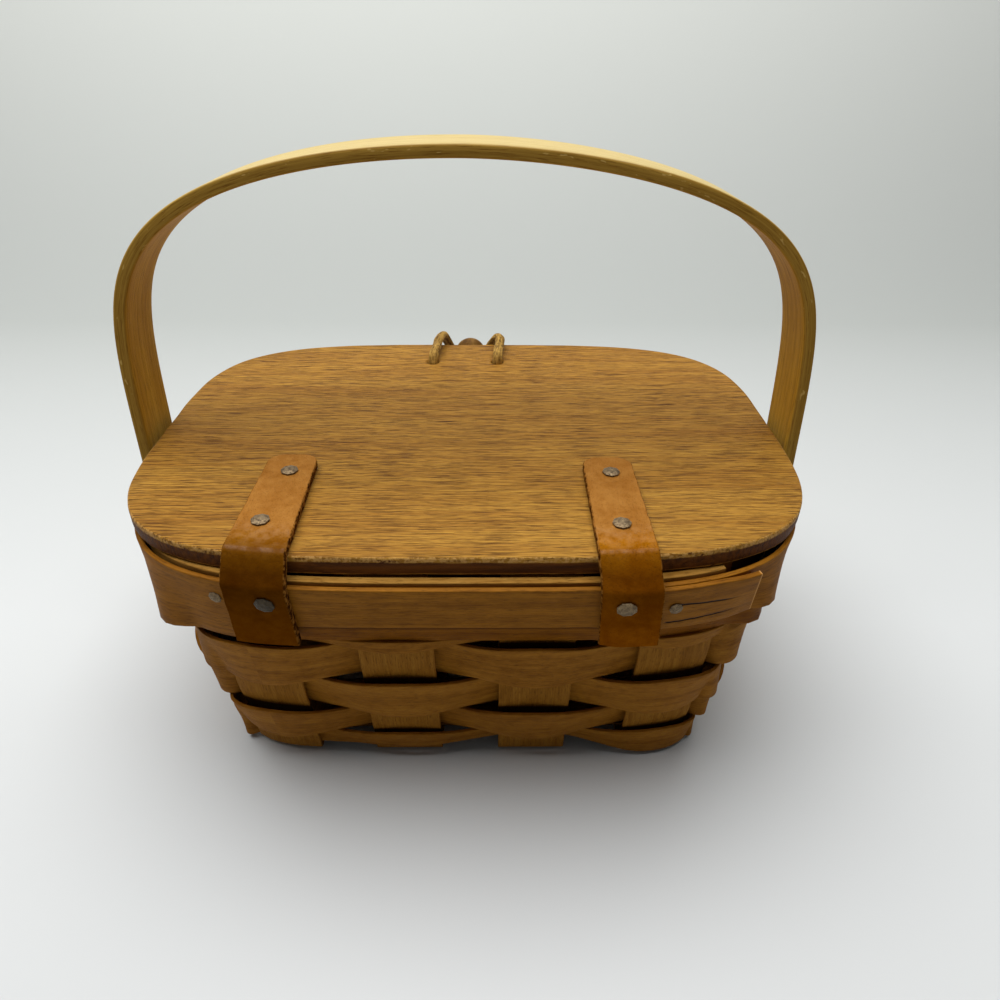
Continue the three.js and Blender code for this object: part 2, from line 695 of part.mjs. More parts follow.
function makeStrap(strap) {
  const { middleX, lowWidth, splay } = strap;
  const runs = [0];
  strapSide(middleX, strap).forEach(({ y, z }, k, side) => {
    if (k > 0) runs.push(runs[k - 1] + Math.hypot(y - side[k - 1].y, z - side[k - 1].z));
  });
  const whole = runs[runs.length - 1];
  const crease = runs[strapTipShares.length];
  const columns = spread(-1, 1, 9);
  const points = runs.map((run, k) => {
    const short = Math.max(0, 1 - (run / strapCornerRadius + strapTipShares[0]));
    const corner = strapCornerRadius * (1 - Math.sqrt(1 - short ** 2));
    const half = lerp(strapTopWidth, lowWidth, run / whole) / 2 - corner;
    const middle = middleX + splay * Math.max(0, (run - crease) / (whole - crease));
    return columns.map((share) => {
      const x = middle + share * half;
      const { y, z } = strapSide(x, strap)[k];
      return new THREE.Vector3(x, y, z);
    });
  });
  return plate(withNormals(points, false), strapThickness, false);
}
const straps = {
  left: {
    middleX: strapLeftX,
    tipY: strapLeftTipY,
    lowWidth: strapLeftLowWidth,
    drop: strapLeftDrop,
    splay: strapLeftSplay,
  },
  right: {
    middleX: strapRightX,
    tipY: strapRightTipY,
    lowWidth: strapRightLowWidth,
    drop: strapRightDrop,
    splay: strapRightSplay,
  },
};
pieces.hinge_strap_left = makeStrap(straps.left);
pieces.hinge_strap_right = makeStrap(straps.right);

// Lid: one board with a superellipse outline, an eased arris and two lace holes
function lidOutline(halfLength, halfDepth) {
  const shape = new THREE.Shape();
  for (let k = 0; k < lidOutlineSteps; k += 1) {
    const angle = (k / lidOutlineSteps) * 2 * Math.PI;
    const c = Math.cos(angle);
    const s = Math.sin(angle);
    const n = lidSquareness;
    const r = (Math.abs(c / halfLength) ** n + Math.abs(s / halfDepth) ** n) ** (-1 / n);
    if (k === 0) shape.moveTo(r * c, r * s);
    else shape.lineTo(r * c, r * s);
  }
  shape.closePath();
  return shape;
}
pieces.lid = new THREE.ExtrudeGeometry(lidOutline(lidHalfLength - lidArris, lidHalfDepth - lidArris), {
  depth: lidThickness - 2 * lidArris,
  bevelEnabled: true,
  bevelThickness: lidArris,
  bevelSize: lidArris,
  bevelSegments: 1,
  curveSegments: 1,
}).translate(0, lidSetForward, lidUnderside + lidArris);

// Handle: a bent strip in the X and up plane, with rounded leg ends at the pivots
const archSteps = 56;
const archFoot = 0.9;
function handleArch() {
  const points = [];
  const leg = (side, down) => [-1, 1].map((edge) => new THREE.Vector3(
    side * archHalfWidth, edge * handleWidth / 2, -down));
  points.push(leg(1, handleWidth / 2));
  for (let k = 0; k <= archSteps; k += 1) {
    const angle = (k / archSteps) * Math.PI;
    const c = Math.cos(angle);
    const s = Math.sin(angle);
    const side = c >= 0 ? 0 : 1;
    const z = archRise * s ** (2 / archLegStraightness[side]);
    const x = Math.sign(c) * archHalfWidth * Math.abs(c) ** (2 / archTopRoundness[side])
      + archSkew * (z / archRise) ** 2;
    const turn = crownTwist * deg * (z / archRise) ** 3;
    if (z > archFoot) {
      points.push([-1, 1].map((edge) => new THREE.Vector3(
        x, edge * (handleWidth / 2) * Math.cos(turn), z + edge * (handleWidth / 2) * Math.sin(turn))));
    }
  }
  points.push(leg(-1, handleWidth / 2));
  return plate(withNormals(points, false), handleThickness, false);
}
const endSteps = 10;
function handleTrim() {
  const radius = handleWidth / 2;
  const shape = new THREE.Shape();
  const tall = archRise + handleWidth;
  shape.moveTo(-radius, tall);
  for (let k = 0; k <= endSteps; k += 1) {
    const angle = Math.PI + (k / endSteps) * Math.PI;
    shape.lineTo(radius * Math.cos(angle), radius * Math.sin(angle));
  }
  shape.lineTo(radius, tall);
  shape.closePath();
  const length = 2 * (archHalfWidth + handleThickness);
  return new THREE.ExtrudeGeometry(shape, { depth: length, bevelEnabled: false, curveSegments: 1 })
    .rotateX(Math.PI / 2)
    .rotateZ(Math.PI / 2)
    .translate(-length / 2, 0, 0);
}
pieces.handle = toGeometry(toSolid(handleArch()).intersect(toSolid(handleTrim())));

// Fasteners, turned about +Y: a domed head whose underside is at 0, and a shank below it
function fastener({ headRadius, headHeight, shankRadius, shankLength, tail }) {
  const profile = [
    [0, headHeight],
    [headRadius * 0.6, headHeight * 0.85],
    [headRadius, headHeight * 0.3],
    [headRadius, 0],
    [shankRadius, 0],
    ...(tail ? [[shankRadius, -shankLength], [tail.radius, -shankLength],
      [tail.radius, -shankLength - tail.height], [0, -shankLength - tail.height]]
      : [[shankRadius, -shankLength], [0, -shankLength]]),
  ].map(([x, y]) => new THREE.Vector2(x, y)).reverse();
  return new THREE.LatheGeometry(profile, headRadius > knobStemRadius ? roundSides : roundSides - 4);
}

// Where each fastener sits: at is a point on its axis, along points out of the piece it holds,
// and out is the distance from at to the head's underside
const up = new THREE.Vector3(0, 0, 1);
const fasteners = [];
const rimHoles = [];
function addFastener(name, place, shape, holes) {
  const radius = shape.shankRadius + holeClearance;
  fasteners.push({ name, place, shape });
  holes.push({ at: place.at, along: place.along, radius });
}

// Lid nails: through the straps into the lid
const strapHoles = { left: [], right: [] };
const lidHoles = [];
const nailShape = {
  headRadius: nailHeadRadius,
  headHeight: 1.1,
  shankRadius: nailShankRadius,
  shankLength: strapThickness + 2 * clearance + lidThickness - 1,
};
const lidNails = [
  { name: 'lid_nail_left_upper', side: 'left', aside: 0.7, fromTip: nailLeftUpper },
  { name: 'lid_nail_left_lower', side: 'left', aside: -1.5, fromTip: nailLeftLower },
  { name: 'lid_nail_right_upper', side: 'right', aside: 0.4, fromTip: nailRightUpper },
  { name: 'lid_nail_right_lower', side: 'right', aside: -0.3, fromTip: nailRightLower },
];
lidNails.forEach(({ name, side, aside, fromTip }) => {
  const { middleX, tipY } = straps[side];
  const at = new THREE.Vector3(middleX + aside, tipY - fromTip, lidTopHeight);
  const place = { at, along: up, out: clearance + strapThickness + clearance };
  addFastener(name, place, nailShape, lidHoles);
  strapHoles[side].push(lidHoles[lidHoles.length - 1]);
});

// Strap rivets: through the strap and all layers of the rim
const rivetShape = {
  headRadius: rivetHeadRadius,
  headHeight: 1.2,
  shankRadius: rivetShankRadius,
  shankLength: 13,
};
function bandPlace(x, drop) {
  const share = drop / outerBandHeight;
  const step = 1;
  const pointOn = (atX) => {
    const { top, low } = bandFace(atX);
    return new THREE.Vector3(atX, lerp(top.y, low.y, share), lerp(top.z, low.z, share));
  };
  const { top, low } = bandFace(x);
  const across = pointOn(x + step).sub(pointOn(x - step));
  const along = across.cross(new THREE.Vector3(0, top.y - low.y, top.z - low.z)).normalize();
  return { at: pointOn(x), along };
}
[
  ['left', strapLeftX + rivetLeftAside, rivetLeftDrop],
  ['right', strapRightX + rivetRightAside, rivetRightDrop],
].forEach(([side, x, drop]) => {
  const place = { ...bandPlace(x, drop), out: clearance + strapThickness + clearance };
  addFastener(`strap_rivet_${side}`, place, rivetShape, rimHoles);
  strapHoles[side].push(rimHoles[rimHoles.length - 1]);
});

// Rim tacks: through the outer band and the layers behind it
const tackShape = {
  headRadius: tackHeadRadius,
  headHeight: 0.9,
  shankRadius: tackShankRadius,
  shankLength: 8,
};
function bandCover(z, lap) {
  const share = (z - outerBandBottom) / outerBandHeight;
  const face = lerp(bandLowOffset, bandTopOffset, share) + outerBandThickness / 2;
  return face + lap + clearance + tackSeat;
}
const tackHeight = outerBandTop - tackDrop;
const outerX = crossX[crossX.length - 1];
const endTackY = longY[longY.length - 1] - endTackInset;
const farTackX = outerX - farTackInset;
const leftTack = {
  x: strapLeftX - strapLeftLowWidth / 2 - hingeTackLeftGap - tackHeadRadius,
  z: outerBandTop - hingeTackLeftDrop,
};
const rightTack = {
  x: strapRightX + strapRightLowWidth / 2 + hingeTackRightGap + tackHeadRadius,
  z: outerBandTop - hingeTackRightDrop,
};
const tacks = [
  { ...longWallPlace(leftTack.x, -1, leftTack.z), lap: 0 },
  { ...longWallPlace(rightTack.x, -1, rightTack.z), lap: bandLap },
  { ...endWallPlace(-endTackY, 1, tackHeight), lap: 0 },
  { ...endWallPlace(endTackY, 1, tackHeight), lap: 0 },
  { ...longWallPlace(farTackX, 1, tackHeight), lap: 0 },
  { ...longWallPlace(-farTackX, 1, tackHeight), lap: 0 },
  { ...endWallPlace(endTackY, -1, tackHeight), lap: 0 },
  { ...endWallPlace(-endTackY, -1, tackHeight), lap: 0 },
];
tacks.forEach(({ at, along, lap }, k) => {
  addFastener(`rim_tack_${k + 1}`, { at, along, out: bandCover(at.z, lap) }, tackShape, rimHoles);
});

// Handle pivots: a turned spacer between the rim's end and the leg, and a rivet through both
const legInside = archHalfWidth - handleThickness / 2;
const legOutside = archHalfWidth + handleThickness / 2;
function endFace(z) {
  const share = (z - outerBandBottom) / outerBandHeight;
  const half = outerBandThickness / 2;
  return lerp(wallX(0, outerBandBottom) + bandLowOffset, wallX(0, outerBandTop) + bandTopOffset, share)
    + half;
}
const insideRim = wallX(0, pivotHeight) + innerBandOffset - innerBandThickness / 2;
const burrClearance = 1;
['left', 'right'].forEach((side, k) => {
  const sign = k === 0 ? -1 : 1;
  const boreRadius = pivotRivetRadius + holeClearance;
  const start = endFace(pivotHeight) + clearance;
  const profile = [[boreRadius, 0], [spacerRadius, 0], [spacerRadius, 1], [boreRadius, 1], [boreRadius, 0]];
  const spacer = new THREE.LatheGeometry(profile.map(([x, y]) => new THREE.Vector2(x, y)), 2 * roundSides);
  spacer.rotateZ(-Math.PI / 2);
  const points = spacer.attributes.position;
  for (let i = 0; i < points.count; i += 1) {
    const z = pivotHeight + points.getZ(i);
    const near = points.getX(i) < 0.5;
    points.setX(i, near ? endFace(z) + clearance : Math.max(legInside - clearance, start + 1));
    points.setZ(i, z);
  }
  if (sign < 0) spacer.rotateZ(Math.PI);
  pieces[`handle_spacer_${side}`] = spacer;
  const place = {
    at: new THREE.Vector3(0, 0, pivotHeight),
    along: new THREE.Vector3(sign, 0, 0),
    out: legOutside + clearance,
  };
  const shape = {
    headRadius: pivotHeadRadius,
    headHeight: 1.8,
    shankRadius: pivotRivetRadius,
    shankLength: legOutside + clearance - insideRim + burrClearance,
    tail: { radius: pivotHeadRadius * 0.7, height: 1.2 },
  };
  fasteners.push({ name: `handle_rivet_${side}`, place, shape });
});
const pivotHole = {
  at: new THREE.Vector3(0, 0, pivotHeight),
  along: new THREE.Vector3(1, 0, 0),
  radius: pivotRivetRadius + holeClearance,
  reach: 2 * lidHalfLength,
};

// Knob on the front of the rim: a turned stem and head, held by a screw from inside
const knobHeight = lidTopHeight - knobDrop;
function frontFace(z) {
  const share = (z - outerBandBottom) / outerBandHeight;
  const half = outerBandThickness / 2;
  return half + lerp(
    wallY(knobX, outerBandBottom) + bandLowOffset,
    wallY(knobX, outerBandTop) + bandTopOffset,
    share,
  );
}
const knobBase = frontFace(knobHeight) + clearance;
const screwDepth = 12;
const headStart = knobLength - knobHeadLength;
const knobProfile = [
  [screwRadius + holeClearance, 0],
  [knobStemRadius + 0.8, 0],
  [knobStemRadius, 3],
  [knobStemRadius, headStart - 2],
  [knobHeadRadius * 0.8, headStart],
  [knobHeadRadius, headStart + 1.6],
  [knobHeadRadius, knobLength - 2],
  [knobHeadRadius * 0.7, knobLength - 0.5],
  [0, knobLength],
  [0, screwDepth],
  [screwRadius + holeClearance, screwDepth],
  [screwRadius + holeClearance, 0],
].map(([x, y]) => new THREE.Vector2(x, y));
const knob = new THREE.LatheGeometry(knobProfile, 20);
const knobPoints = knob.attributes.position;
for (let i = 0; i < knobPoints.count; i += 1) {
  const z = knobHeight + knobPoints.getZ(i);
  const atBase = knobPoints.getY(i) < 0.01;
  knobPoints.setXYZ(i, knobX + knobPoints.getX(i),
    atBase ? frontFace(z) + clearance : knobBase + knobPoints.getY(i), z);
}
pieces.knob = knob;
const insideFront = wallY(knobX, knobHeight) + innerBandOffset - innerBandThickness / 2;
const screwPlace = {
  at: new THREE.Vector3(knobX, 0, knobHeight),
  along: new THREE.Vector3(0, -1, 0),
  out: burrClearance - insideFront,
};
addFastener('knob_screw', screwPlace, {
  headRadius: screwHeadRadius,
  headHeight: 1.6,
  shankRadius: screwRadius,
  shankLength: knobBase + screwDepth - 1 - insideFront,
}, []);
const screwHole = {
  at: new THREE.Vector3(knobX, rimHalfDepth, knobHeight),
  along: new THREE.Vector3(0, 1, 0),
  radius: screwRadius + holeClearance,
};

// Lace: out of one hole, over the lid's front edge, round under the knob's stem and back
const lidFrontY = lidSetForward + lidHalfDepth;
const laceHoleY = lidFrontY - laceHoleInset;
const h = lidTopHeight;
const laceRoute = [
  [laceHoleLeftX, laceHoleY, lidUnderside],
  [laceHoleLeftX, laceHoleY, h - 1.5],
  [-17.7, 65.1, h + 2.4],
  [-16.8, 74, h + 3.7],
  [-15.6, 83.5, h + 4.4],
  [-14.2, 89.3, h + 2.2],
  [-12, 93.5, h - 4],
  [-9, 96, h - 11.5],
  [-7.1, 96.8, h - 16.6],
  [-2.5, 97, h - laceLoopDrop],
  [2.1, 96.8, h - 16.6],
  [4, 96, h - 11.5],
  [7.5, 93.2, h - 4],
  [10.5, 88.6, h + 1.6],
  [12, 82.8, h + 3.8],
  [11.4, 74, h + 3.2],
  [10.7, 65.1, h + 2.3],
  [laceHoleRightX, laceHoleY, h - 1.5],
  [laceHoleRightX, laceHoleY, lidUnderside],
].map(([x, y, z]) => new THREE.Vector3(x, y, z));
const laceSection = new THREE.Shape();
const laceSides = 8;
for (let k = 0; k < laceSides; k += 1) {
  const angle = (k / laceSides) * 2 * Math.PI;
  const point = [laceRadius * Math.cos(angle), laceRadius * Math.sin(angle)];
  if (k === 0) laceSection.moveTo(...point);
  else laceSection.lineTo(...point);
}
laceSection.closePath();
pieces.closure_lace = new THREE.ExtrudeGeometry(laceSection, {
  steps: 52,
  curveSegments: 1,
  extrudePath: new THREE.CatmullRomCurve3(laceRoute, false, 'centripetal'),
});
[['left', laceHoleLeftX], ['right', laceHoleRightX]].forEach(([side, x]) => {
  const knot = new THREE.SphereGeometry(knotRadius, 10, 8);
  const squash = 0.7;
  knot.rotateX(Math.PI / 2).scale(1, 1, squash);
  knot.translate(x, laceHoleY, lidUnderside - clearance - squash * knotRadius);
  pieces[`lace_knot_${side}`] = knot;
  lidHoles.push({ at: new THREE.Vector3(x, laceHoleY, lidTopHeight), along: up, radius: laceHoleRadius });
});

// Drill what the fasteners go through
pieces.lid = drill(pieces.lid, lidHoles);
pieces.hinge_strap_left = drill(pieces.hinge_strap_left, strapHoles.left);
pieces.hinge_strap_right = drill(pieces.hinge_strap_right, strapHoles.right);
const rimPieces = ['outer_band', 'filler_strip', 'under_band', 'inner_band',
  ...crossX.map((_, k) => `cross_splint_${k + 1}`), ...longY.map((_, k) => `long_splint_${k + 1}`)];
rimPieces.forEach((name) => {
  pieces[name] = drill(pieces[name], [...rimHoles, pivotHole, screwHole]);
});
const inHandleFrame = { ...pivotHole, at: new THREE.Vector3() };
pieces.handle = drill(pieces.handle, [inHandleFrame]);

// Assembly: the handle turns in its own group at the pivots, everything else stands in place
const finishes = {
  lid: 'lid', handle: 'handle', hinge_strap_left: 'leather', hinge_strap_right: 'leather',
  closure_lace: 'lace', lace_knot_left: 'lace', lace_knot_right: 'lace', knob: 'turned',
  handle_spacer_left: 'turned', handle_spacer_right: 'turned',
  outer_band: 'band', under_band: 'band', inner_band: 'band', filler_strip: 'band',
};
const handleGroup = new THREE.Group();
handleGroup.position.z = pivotHeight;
handleGroup.rotation.x = -handleLean * deg;
basket.add(handleGroup);
Object.entries(pieces).forEach(([name, geometry]) => {
  addPiece(name, geometry, finishes[name] ?? 'splint', name === 'handle' ? handleGroup : basket);
});
fasteners.forEach(({ name, place, shape }) => {
  const mesh = addPiece(name, fastener(shape), 'steel');
  mesh.quaternion.setFromUnitVectors(new THREE.Vector3(0, 1, 0), place.along);
  mesh.position.copy(place.at).addScaledVector(place.along, place.out);
});

// The origin is on the floor, in the middle of the whole object's footprint
part.updateMatrixWorld(true);
const whole = new THREE.Box3().setFromObject(basket, true);
basket.position.y = -(whole.min.y + whole.max.y) / 2;

export default part;
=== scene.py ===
import math

import bpy
import numpy as np
from mathutils import Matrix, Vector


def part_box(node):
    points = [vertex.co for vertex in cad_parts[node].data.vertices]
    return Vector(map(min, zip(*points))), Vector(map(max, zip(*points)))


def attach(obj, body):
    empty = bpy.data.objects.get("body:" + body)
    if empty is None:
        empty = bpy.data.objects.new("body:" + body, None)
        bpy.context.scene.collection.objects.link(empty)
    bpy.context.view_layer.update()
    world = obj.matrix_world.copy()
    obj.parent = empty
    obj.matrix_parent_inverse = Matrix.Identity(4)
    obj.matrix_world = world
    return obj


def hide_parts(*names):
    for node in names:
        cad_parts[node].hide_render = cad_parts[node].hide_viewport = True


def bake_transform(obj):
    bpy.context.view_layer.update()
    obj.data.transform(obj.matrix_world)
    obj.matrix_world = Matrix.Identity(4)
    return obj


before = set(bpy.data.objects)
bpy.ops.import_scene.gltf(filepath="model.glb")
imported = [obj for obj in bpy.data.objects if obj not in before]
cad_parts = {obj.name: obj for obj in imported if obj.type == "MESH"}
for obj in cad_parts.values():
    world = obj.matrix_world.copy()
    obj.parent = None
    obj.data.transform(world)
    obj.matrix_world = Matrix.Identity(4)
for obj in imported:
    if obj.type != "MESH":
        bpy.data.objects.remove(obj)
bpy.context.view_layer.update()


# The viewpoint: close on the hinge side and well above the lid, with a wide lens, as in the
# photograph. Its place and tilt were fitted to the lid's outline, the taper and the handle.
def put_in(name, data):
    """New object of this data in the scene."""
    thing = bpy.data.objects.new(name, data)
    bpy.context.scene.collection.objects.link(thing)
    return thing


def standing(place, axes):
    """Matrix of an object at a place, with its own X, Y and Z along the columns of axes."""
    return Matrix.Translation(place) @ Matrix(axes.tolist()).to_4x4()


camera_data = bpy.data.cameras.new("viewpoint")
camera_data.sensor_width = 36
camera_data.lens = 27.04
camera_data.clip_start = 0.01
viewpoint = put_in("viewpoint", camera_data)
bpy.context.scene.camera = viewpoint
pitch, roll, heading = 0.576, -0.0073, 0.0135
sight = np.array([
    [math.cos(roll), -math.sin(roll) * math.sin(pitch), -math.sin(roll) * math.cos(pitch)],
    [math.sin(roll), math.cos(roll) * math.sin(pitch), math.cos(roll) * math.cos(pitch)],
    [0, -math.cos(pitch), math.sin(pitch)],
])
turned = sight @ np.array([
    [math.cos(heading), -math.sin(heading), 0],
    [math.sin(heading), math.cos(heading), 0],
    [0, 0, 1],
])
viewpoint.matrix_world = standing((0.008, -0.25989, 0.2359), turned.T)


# The lace: one strip of golden leather, pulled up through the lid's two holes, over the lid's far
# edge and under the stem of the knob. It goes back into the lid at both ends, to its two knots.
middle_y = (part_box("weaver_1")[0].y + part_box("weaver_1")[1].y) * 500
lid_top, lid_low, rim_top = 105.0, 98.65, 98.35
left_hole, right_hole, hole_y = -18.0, 10.5, 63.7
lace_route = np.array([
    [left_hole, hole_y, lid_low], [left_hole, hole_y, lid_top - 1.5], [-17.7, 65.1, lid_top + 2.4],
    [-16.8, 74, lid_top + 3.7], [-15.6, 83.5, lid_top + 4.4], [-14.2, 89.3, lid_top + 2.2],
    [-12, 93.5, lid_top - 4], [-9, 96, lid_top - 11.5], [-7.1, 96.8, lid_top - 16.6],
    [-2.5, 97, lid_top - 18.6], [2.1, 96.8, lid_top - 16.6], [4, 96, lid_top - 11.5],
    [7.5, 93.2, lid_top - 4], [10.5, 88.6, lid_top + 1.6], [12, 82.8, lid_top + 3.8],
    [11.4, 74, lid_top + 3.2], [10.7, 65.1, lid_top + 2.3], [right_hole, hole_y, lid_top - 1.5],
    [right_hole, hole_y, lid_low],
])


def bent_through(route, steps):
    """Smooth line through the route's points: a centripetal Catmull-Rom curve, where each stretch
    blends its four nearest points by the square roots of their distances."""
    ends = np.vstack([2 * route[0] - route[1], route, 2 * route[-1] - route[-2]])
    p0, p1, p2, p3 = (ends[k:len(ends) - 3 + k, None, :] for k in range(4))
    k1 = np.sqrt(np.linalg.norm(p1 - p0, axis=2, keepdims=True))
    k2 = k1 + np.sqrt(np.linalg.norm(p2 - p1, axis=2, keepdims=True))
    k3 = k2 + np.sqrt(np.linalg.norm(p3 - p2, axis=2, keepdims=True))
    t = k1 + (k2 - k1) * (np.arange(steps) / steps)[None, :, None]
    a1 = (k1 - t) / k1 * p0 + t / k1 * p1
    a2 = (k2 - t) / (k2 - k1) * p1 + (t - k1) / (k2 - k1) * p2
    a3 = (k3 - t) / (k3 - k2) * p2 + (t - k2) / (k3 - k2) * p3
    b1 = (k2 - t) / k2 * a1 + t / k2 * a2
    b2 = (k3 - t) / (k3 - k1) * a2 + (t - k1) / (k3 - k1) * a3
    curve = (k2 - t) / (k2 - k1) * b1 + (t - k1) / (k2 - k1) * b2
    return np.vstack([curve.reshape(-1, 3), route[-1:]])


def unit(v):
    """Vectors over their own lengths."""
    return v / np.maximum(np.linalg.norm(v, axis=-1, keepdims=True), 1e-9)


def run_of(points):
    """Distance run along a line of points, from 0 at its first point."""
    return np.concatenate([[0], np.cumsum(np.linalg.norm(np.diff(points, axis=0), axis=1))])


def run_round(points):
    """Distance run along a line of points and on to its first point again."""
    return run_of(np.vstack([points, points[:1]]))


def full_turn(count):
    """Even angles round one turn."""
    return np.linspace(0, 2 * np.pi, count + 1)[:-1]


def in_metres(points):
    """Points of the frame in metres, from millimetres off the body's middle."""
    return (points + np.array([0, middle_y, 0])) * 0.001


def build(name, points, ring=False, start=0.0, sharp=50, marks=None):
    """Closed mesh from points[i, j]: i runs along the piece and j round its section. A ring closes
    on itself along i, and any other piece gets a flat face at each end. Its UV map, in metres,
    holds the distance along the middle of the piece and the distance round its section."""
    n, m = points.shape[:2]
    corner = np.arange(n * m).reshape(n, m)
    last = n if ring else n - 1
    i, j = np.meshgrid(np.arange(last), np.arange(m), indexing="ij")
    quads = np.stack([corner[i, j], corner[(i + 1) % n, j],
                      corner[(i + 1) % n, (j + 1) % m], corner[i, (j + 1) % m]], -1).reshape(-1, 4)
    centre = points.mean(axis=(0, 1))
    a, b, c, d = (points.reshape(-1, 3)[quads[:, k]] - centre for k in range(4))
    volume = np.sum(a * np.cross(b, c)) + np.sum(a * np.cross(c, d))
    along, around = run_round(points[:, 0]), run_round(points[n // 2])
    iu = np.stack([i, i + 1, i + 1, i], -1).reshape(-1)
    jv = np.stack([j, j, j + 1, j + 1], -1).reshape(-1)
    uv = np.stack([along[iu] * 0.001 + start, around[jv] * 0.001 + start * 3], -1)
    faces = quads.tolist()
    if not ring:
        faces += [corner[0][::-1].tolist(), corner[-1].tolist()]
        rim_j = np.concatenate([np.arange(m)[::-1], np.arange(m)])
        ends = np.repeat([0, along[n - 1]], m)
        uv = np.vstack([uv, np.stack([ends * 0.001 + start, around[rim_j] * 0.001 + start * 3], -1)])
    mesh = bpy.data.meshes.new(name)
    mesh.from_pydata(in_metres(points).reshape(-1, 3).tolist(), [], faces)
    mesh.uv_layers.new(name="strip").data.foreach_set("uv", uv.astype(np.float32).ravel())
    for mark, values in (marks or {}).items():
        attribute = mesh.attributes.new(mark, "FLOAT", "POINT")
        attribute.data.foreach_set("value", np.broadcast_to(values, (n, m)).astype(np.float32).ravel())
    if volume < 0:
        mesh.flip_normals()
    mesh.polygons.foreach_set("use_smooth", np.ones(len(mesh.polygons), bool))
    mesh.set_sharp_from_angle(angle=math.radians(sharp))
    mesh.update()
    return put_in(name, mesh)


class Wire:
    """One output of a shader node. Arithmetic on it adds Math nodes."""

    def __init__(self, finish, socket):
        self.finish = finish
        self.socket = socket

    def math(self, operation, *values):
        return self.finish.math(operation, *values)

    def __add__(self, other):
        return self.math("ADD", self, other)

    def __sub__(self, other):
        return self.math("SUBTRACT", self, other)

    def __rsub__(self, other):
        return self.math("SUBTRACT", other, self)

    def __mul__(self, other):
        return self.math("MULTIPLY", self, other)

    __radd__ = __add__
    __rmul__ = __mul__

    def between(self, low, high):
        """0 below low and 1 above high, with a straight rise from one to the other."""
        return self.finish.node("ShaderNodeMapRange", {"clamp": True},
                                {"Value": self, "From Min": low, "From Max": high})


class Nodes:
    """The nodes of a material or of the world."""

    def __init__(self, tree):
        self.tree = tree

    def feed(self, socket, value):
        if isinstance(value, Wire):
            self.tree.links.new(value.socket, socket)
        else:
            socket.default_value = value

    def node(self, kind, settings, inputs, out=0):
        node = self.tree.nodes.new(kind)
        for key, value in settings.items():
            setattr(node, key, value)
        for key, value in inputs.items():
            self.feed(node.inputs[key], value)
        return Wire(self, node.outputs[out])

    def math(self, operation, *values):
        return self.node("ShaderNodeMath", {"operation": operation}, dict(enumerate(values)))


class Finish(Nodes):
    """The material of one kind of surface: a Principled shader and the nodes that feed it."""

    def __init__(self, name, **sockets):
        self.material = bpy.data.materials.new(name)
        self.material.use_nodes = True
        super().__init__(self.material.node_tree)
        self.tree.nodes.clear()
        self.shader = self.tree.nodes.new("ShaderNodeBsdfPrincipled")
        output = self.tree.nodes.new("ShaderNodeOutputMaterial")
        self.tree.links.new(self.shader.outputs[0], output.inputs[0])
        self.surface(**sockets)

    def surface(self, **sockets):
        for key, value in sockets.items():
            self.feed(self.shader.inputs[key.replace("_", " ")], value)

    def mix(self, share, first, second):
        """First colour where share is 0, second where it is 1."""
        settings = {"data_type": "RGBA", "blend_type": "MIX", "clamp_factor": True}
        return self.node("ShaderNodeMix", settings, {0: share, 6: first, 7: second}, 2)

    def marked(self, name):
        """A mark that the piece's points carry."""
        return self.node("ShaderNodeAttribute", {"attribute_name": name}, {}, 2)

    def place(self):
        """Where a point is, in metres."""
        return self.node("ShaderNodeTexCoord", {}, {}, "Object")

    def place_along(self, axis):
        """Where a point is along X, Y or Z, in metres."""
        return self.node("ShaderNodeSeparateXYZ", {}, {"Vector": self.place()}, axis)

    def streaks(self, along, across, detail, seed, source=None, deep=None):
        """Noise drawn out along the piece: along and across are its waves per metre, and so is deep
        where the noise is on a source with a third direction."""
        place = source or self.node("ShaderNodeUVMap", {"uv_map": "strip"}, {})
        spread = self.node("ShaderNodeMapping", {}, {
            "Vector": place, "Location": (seed, seed * 1.7, seed * 0.6),
            "Scale": (along, across, deep or across)})
        return self.node("ShaderNodeTexNoise", {}, {
            "Vector": spread, "Scale": 1.0, "Detail": detail, "Roughness": 0.6})

    def relief(self, height, depth, strength):
        """Surface normal of a height that goes from 0 to depth, in metres."""
        return self.node("ShaderNodeBump", {}, {
            "Height": height, "Distance": depth, "Strength": strength})

    def on(self, piece):
        piece.data.materials.clear()
        piece.data.materials.append(self.material)


def tint(red, green, blue):
    """Linear colour of a paint value given as 0 to 255."""
    c = np.array([red, green, blue]) / 255
    lit = np.where(c <= 0.04045, c / 12.92, ((c + 0.055) / 1.055) ** 2.4)
    return (*lit.tolist(), 1.0)


def ripple(x, y, seed):
    """Gentle uneven height from about -1 to 1: a sum of six sine waves with turned directions."""
    luck = np.random.default_rng(seed)
    total = np.zeros(np.broadcast(x, y).shape)
    for _ in range(6):
        angle, size, phase = luck.uniform(0, 2 * np.pi), luck.uniform(0.5, 1.8), luck.uniform(0, 6.3)
        total += np.sin((x * math.cos(angle) + y * math.sin(angle)) * size + phase)
    return total / 6 * 1.6


def stand_in(piece, finish, node, body):
    """Gives a piece its finish and slot, and puts it in its CAD node's stead on a body."""
    finish.on(piece)
    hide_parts(node)
    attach(piece, body)


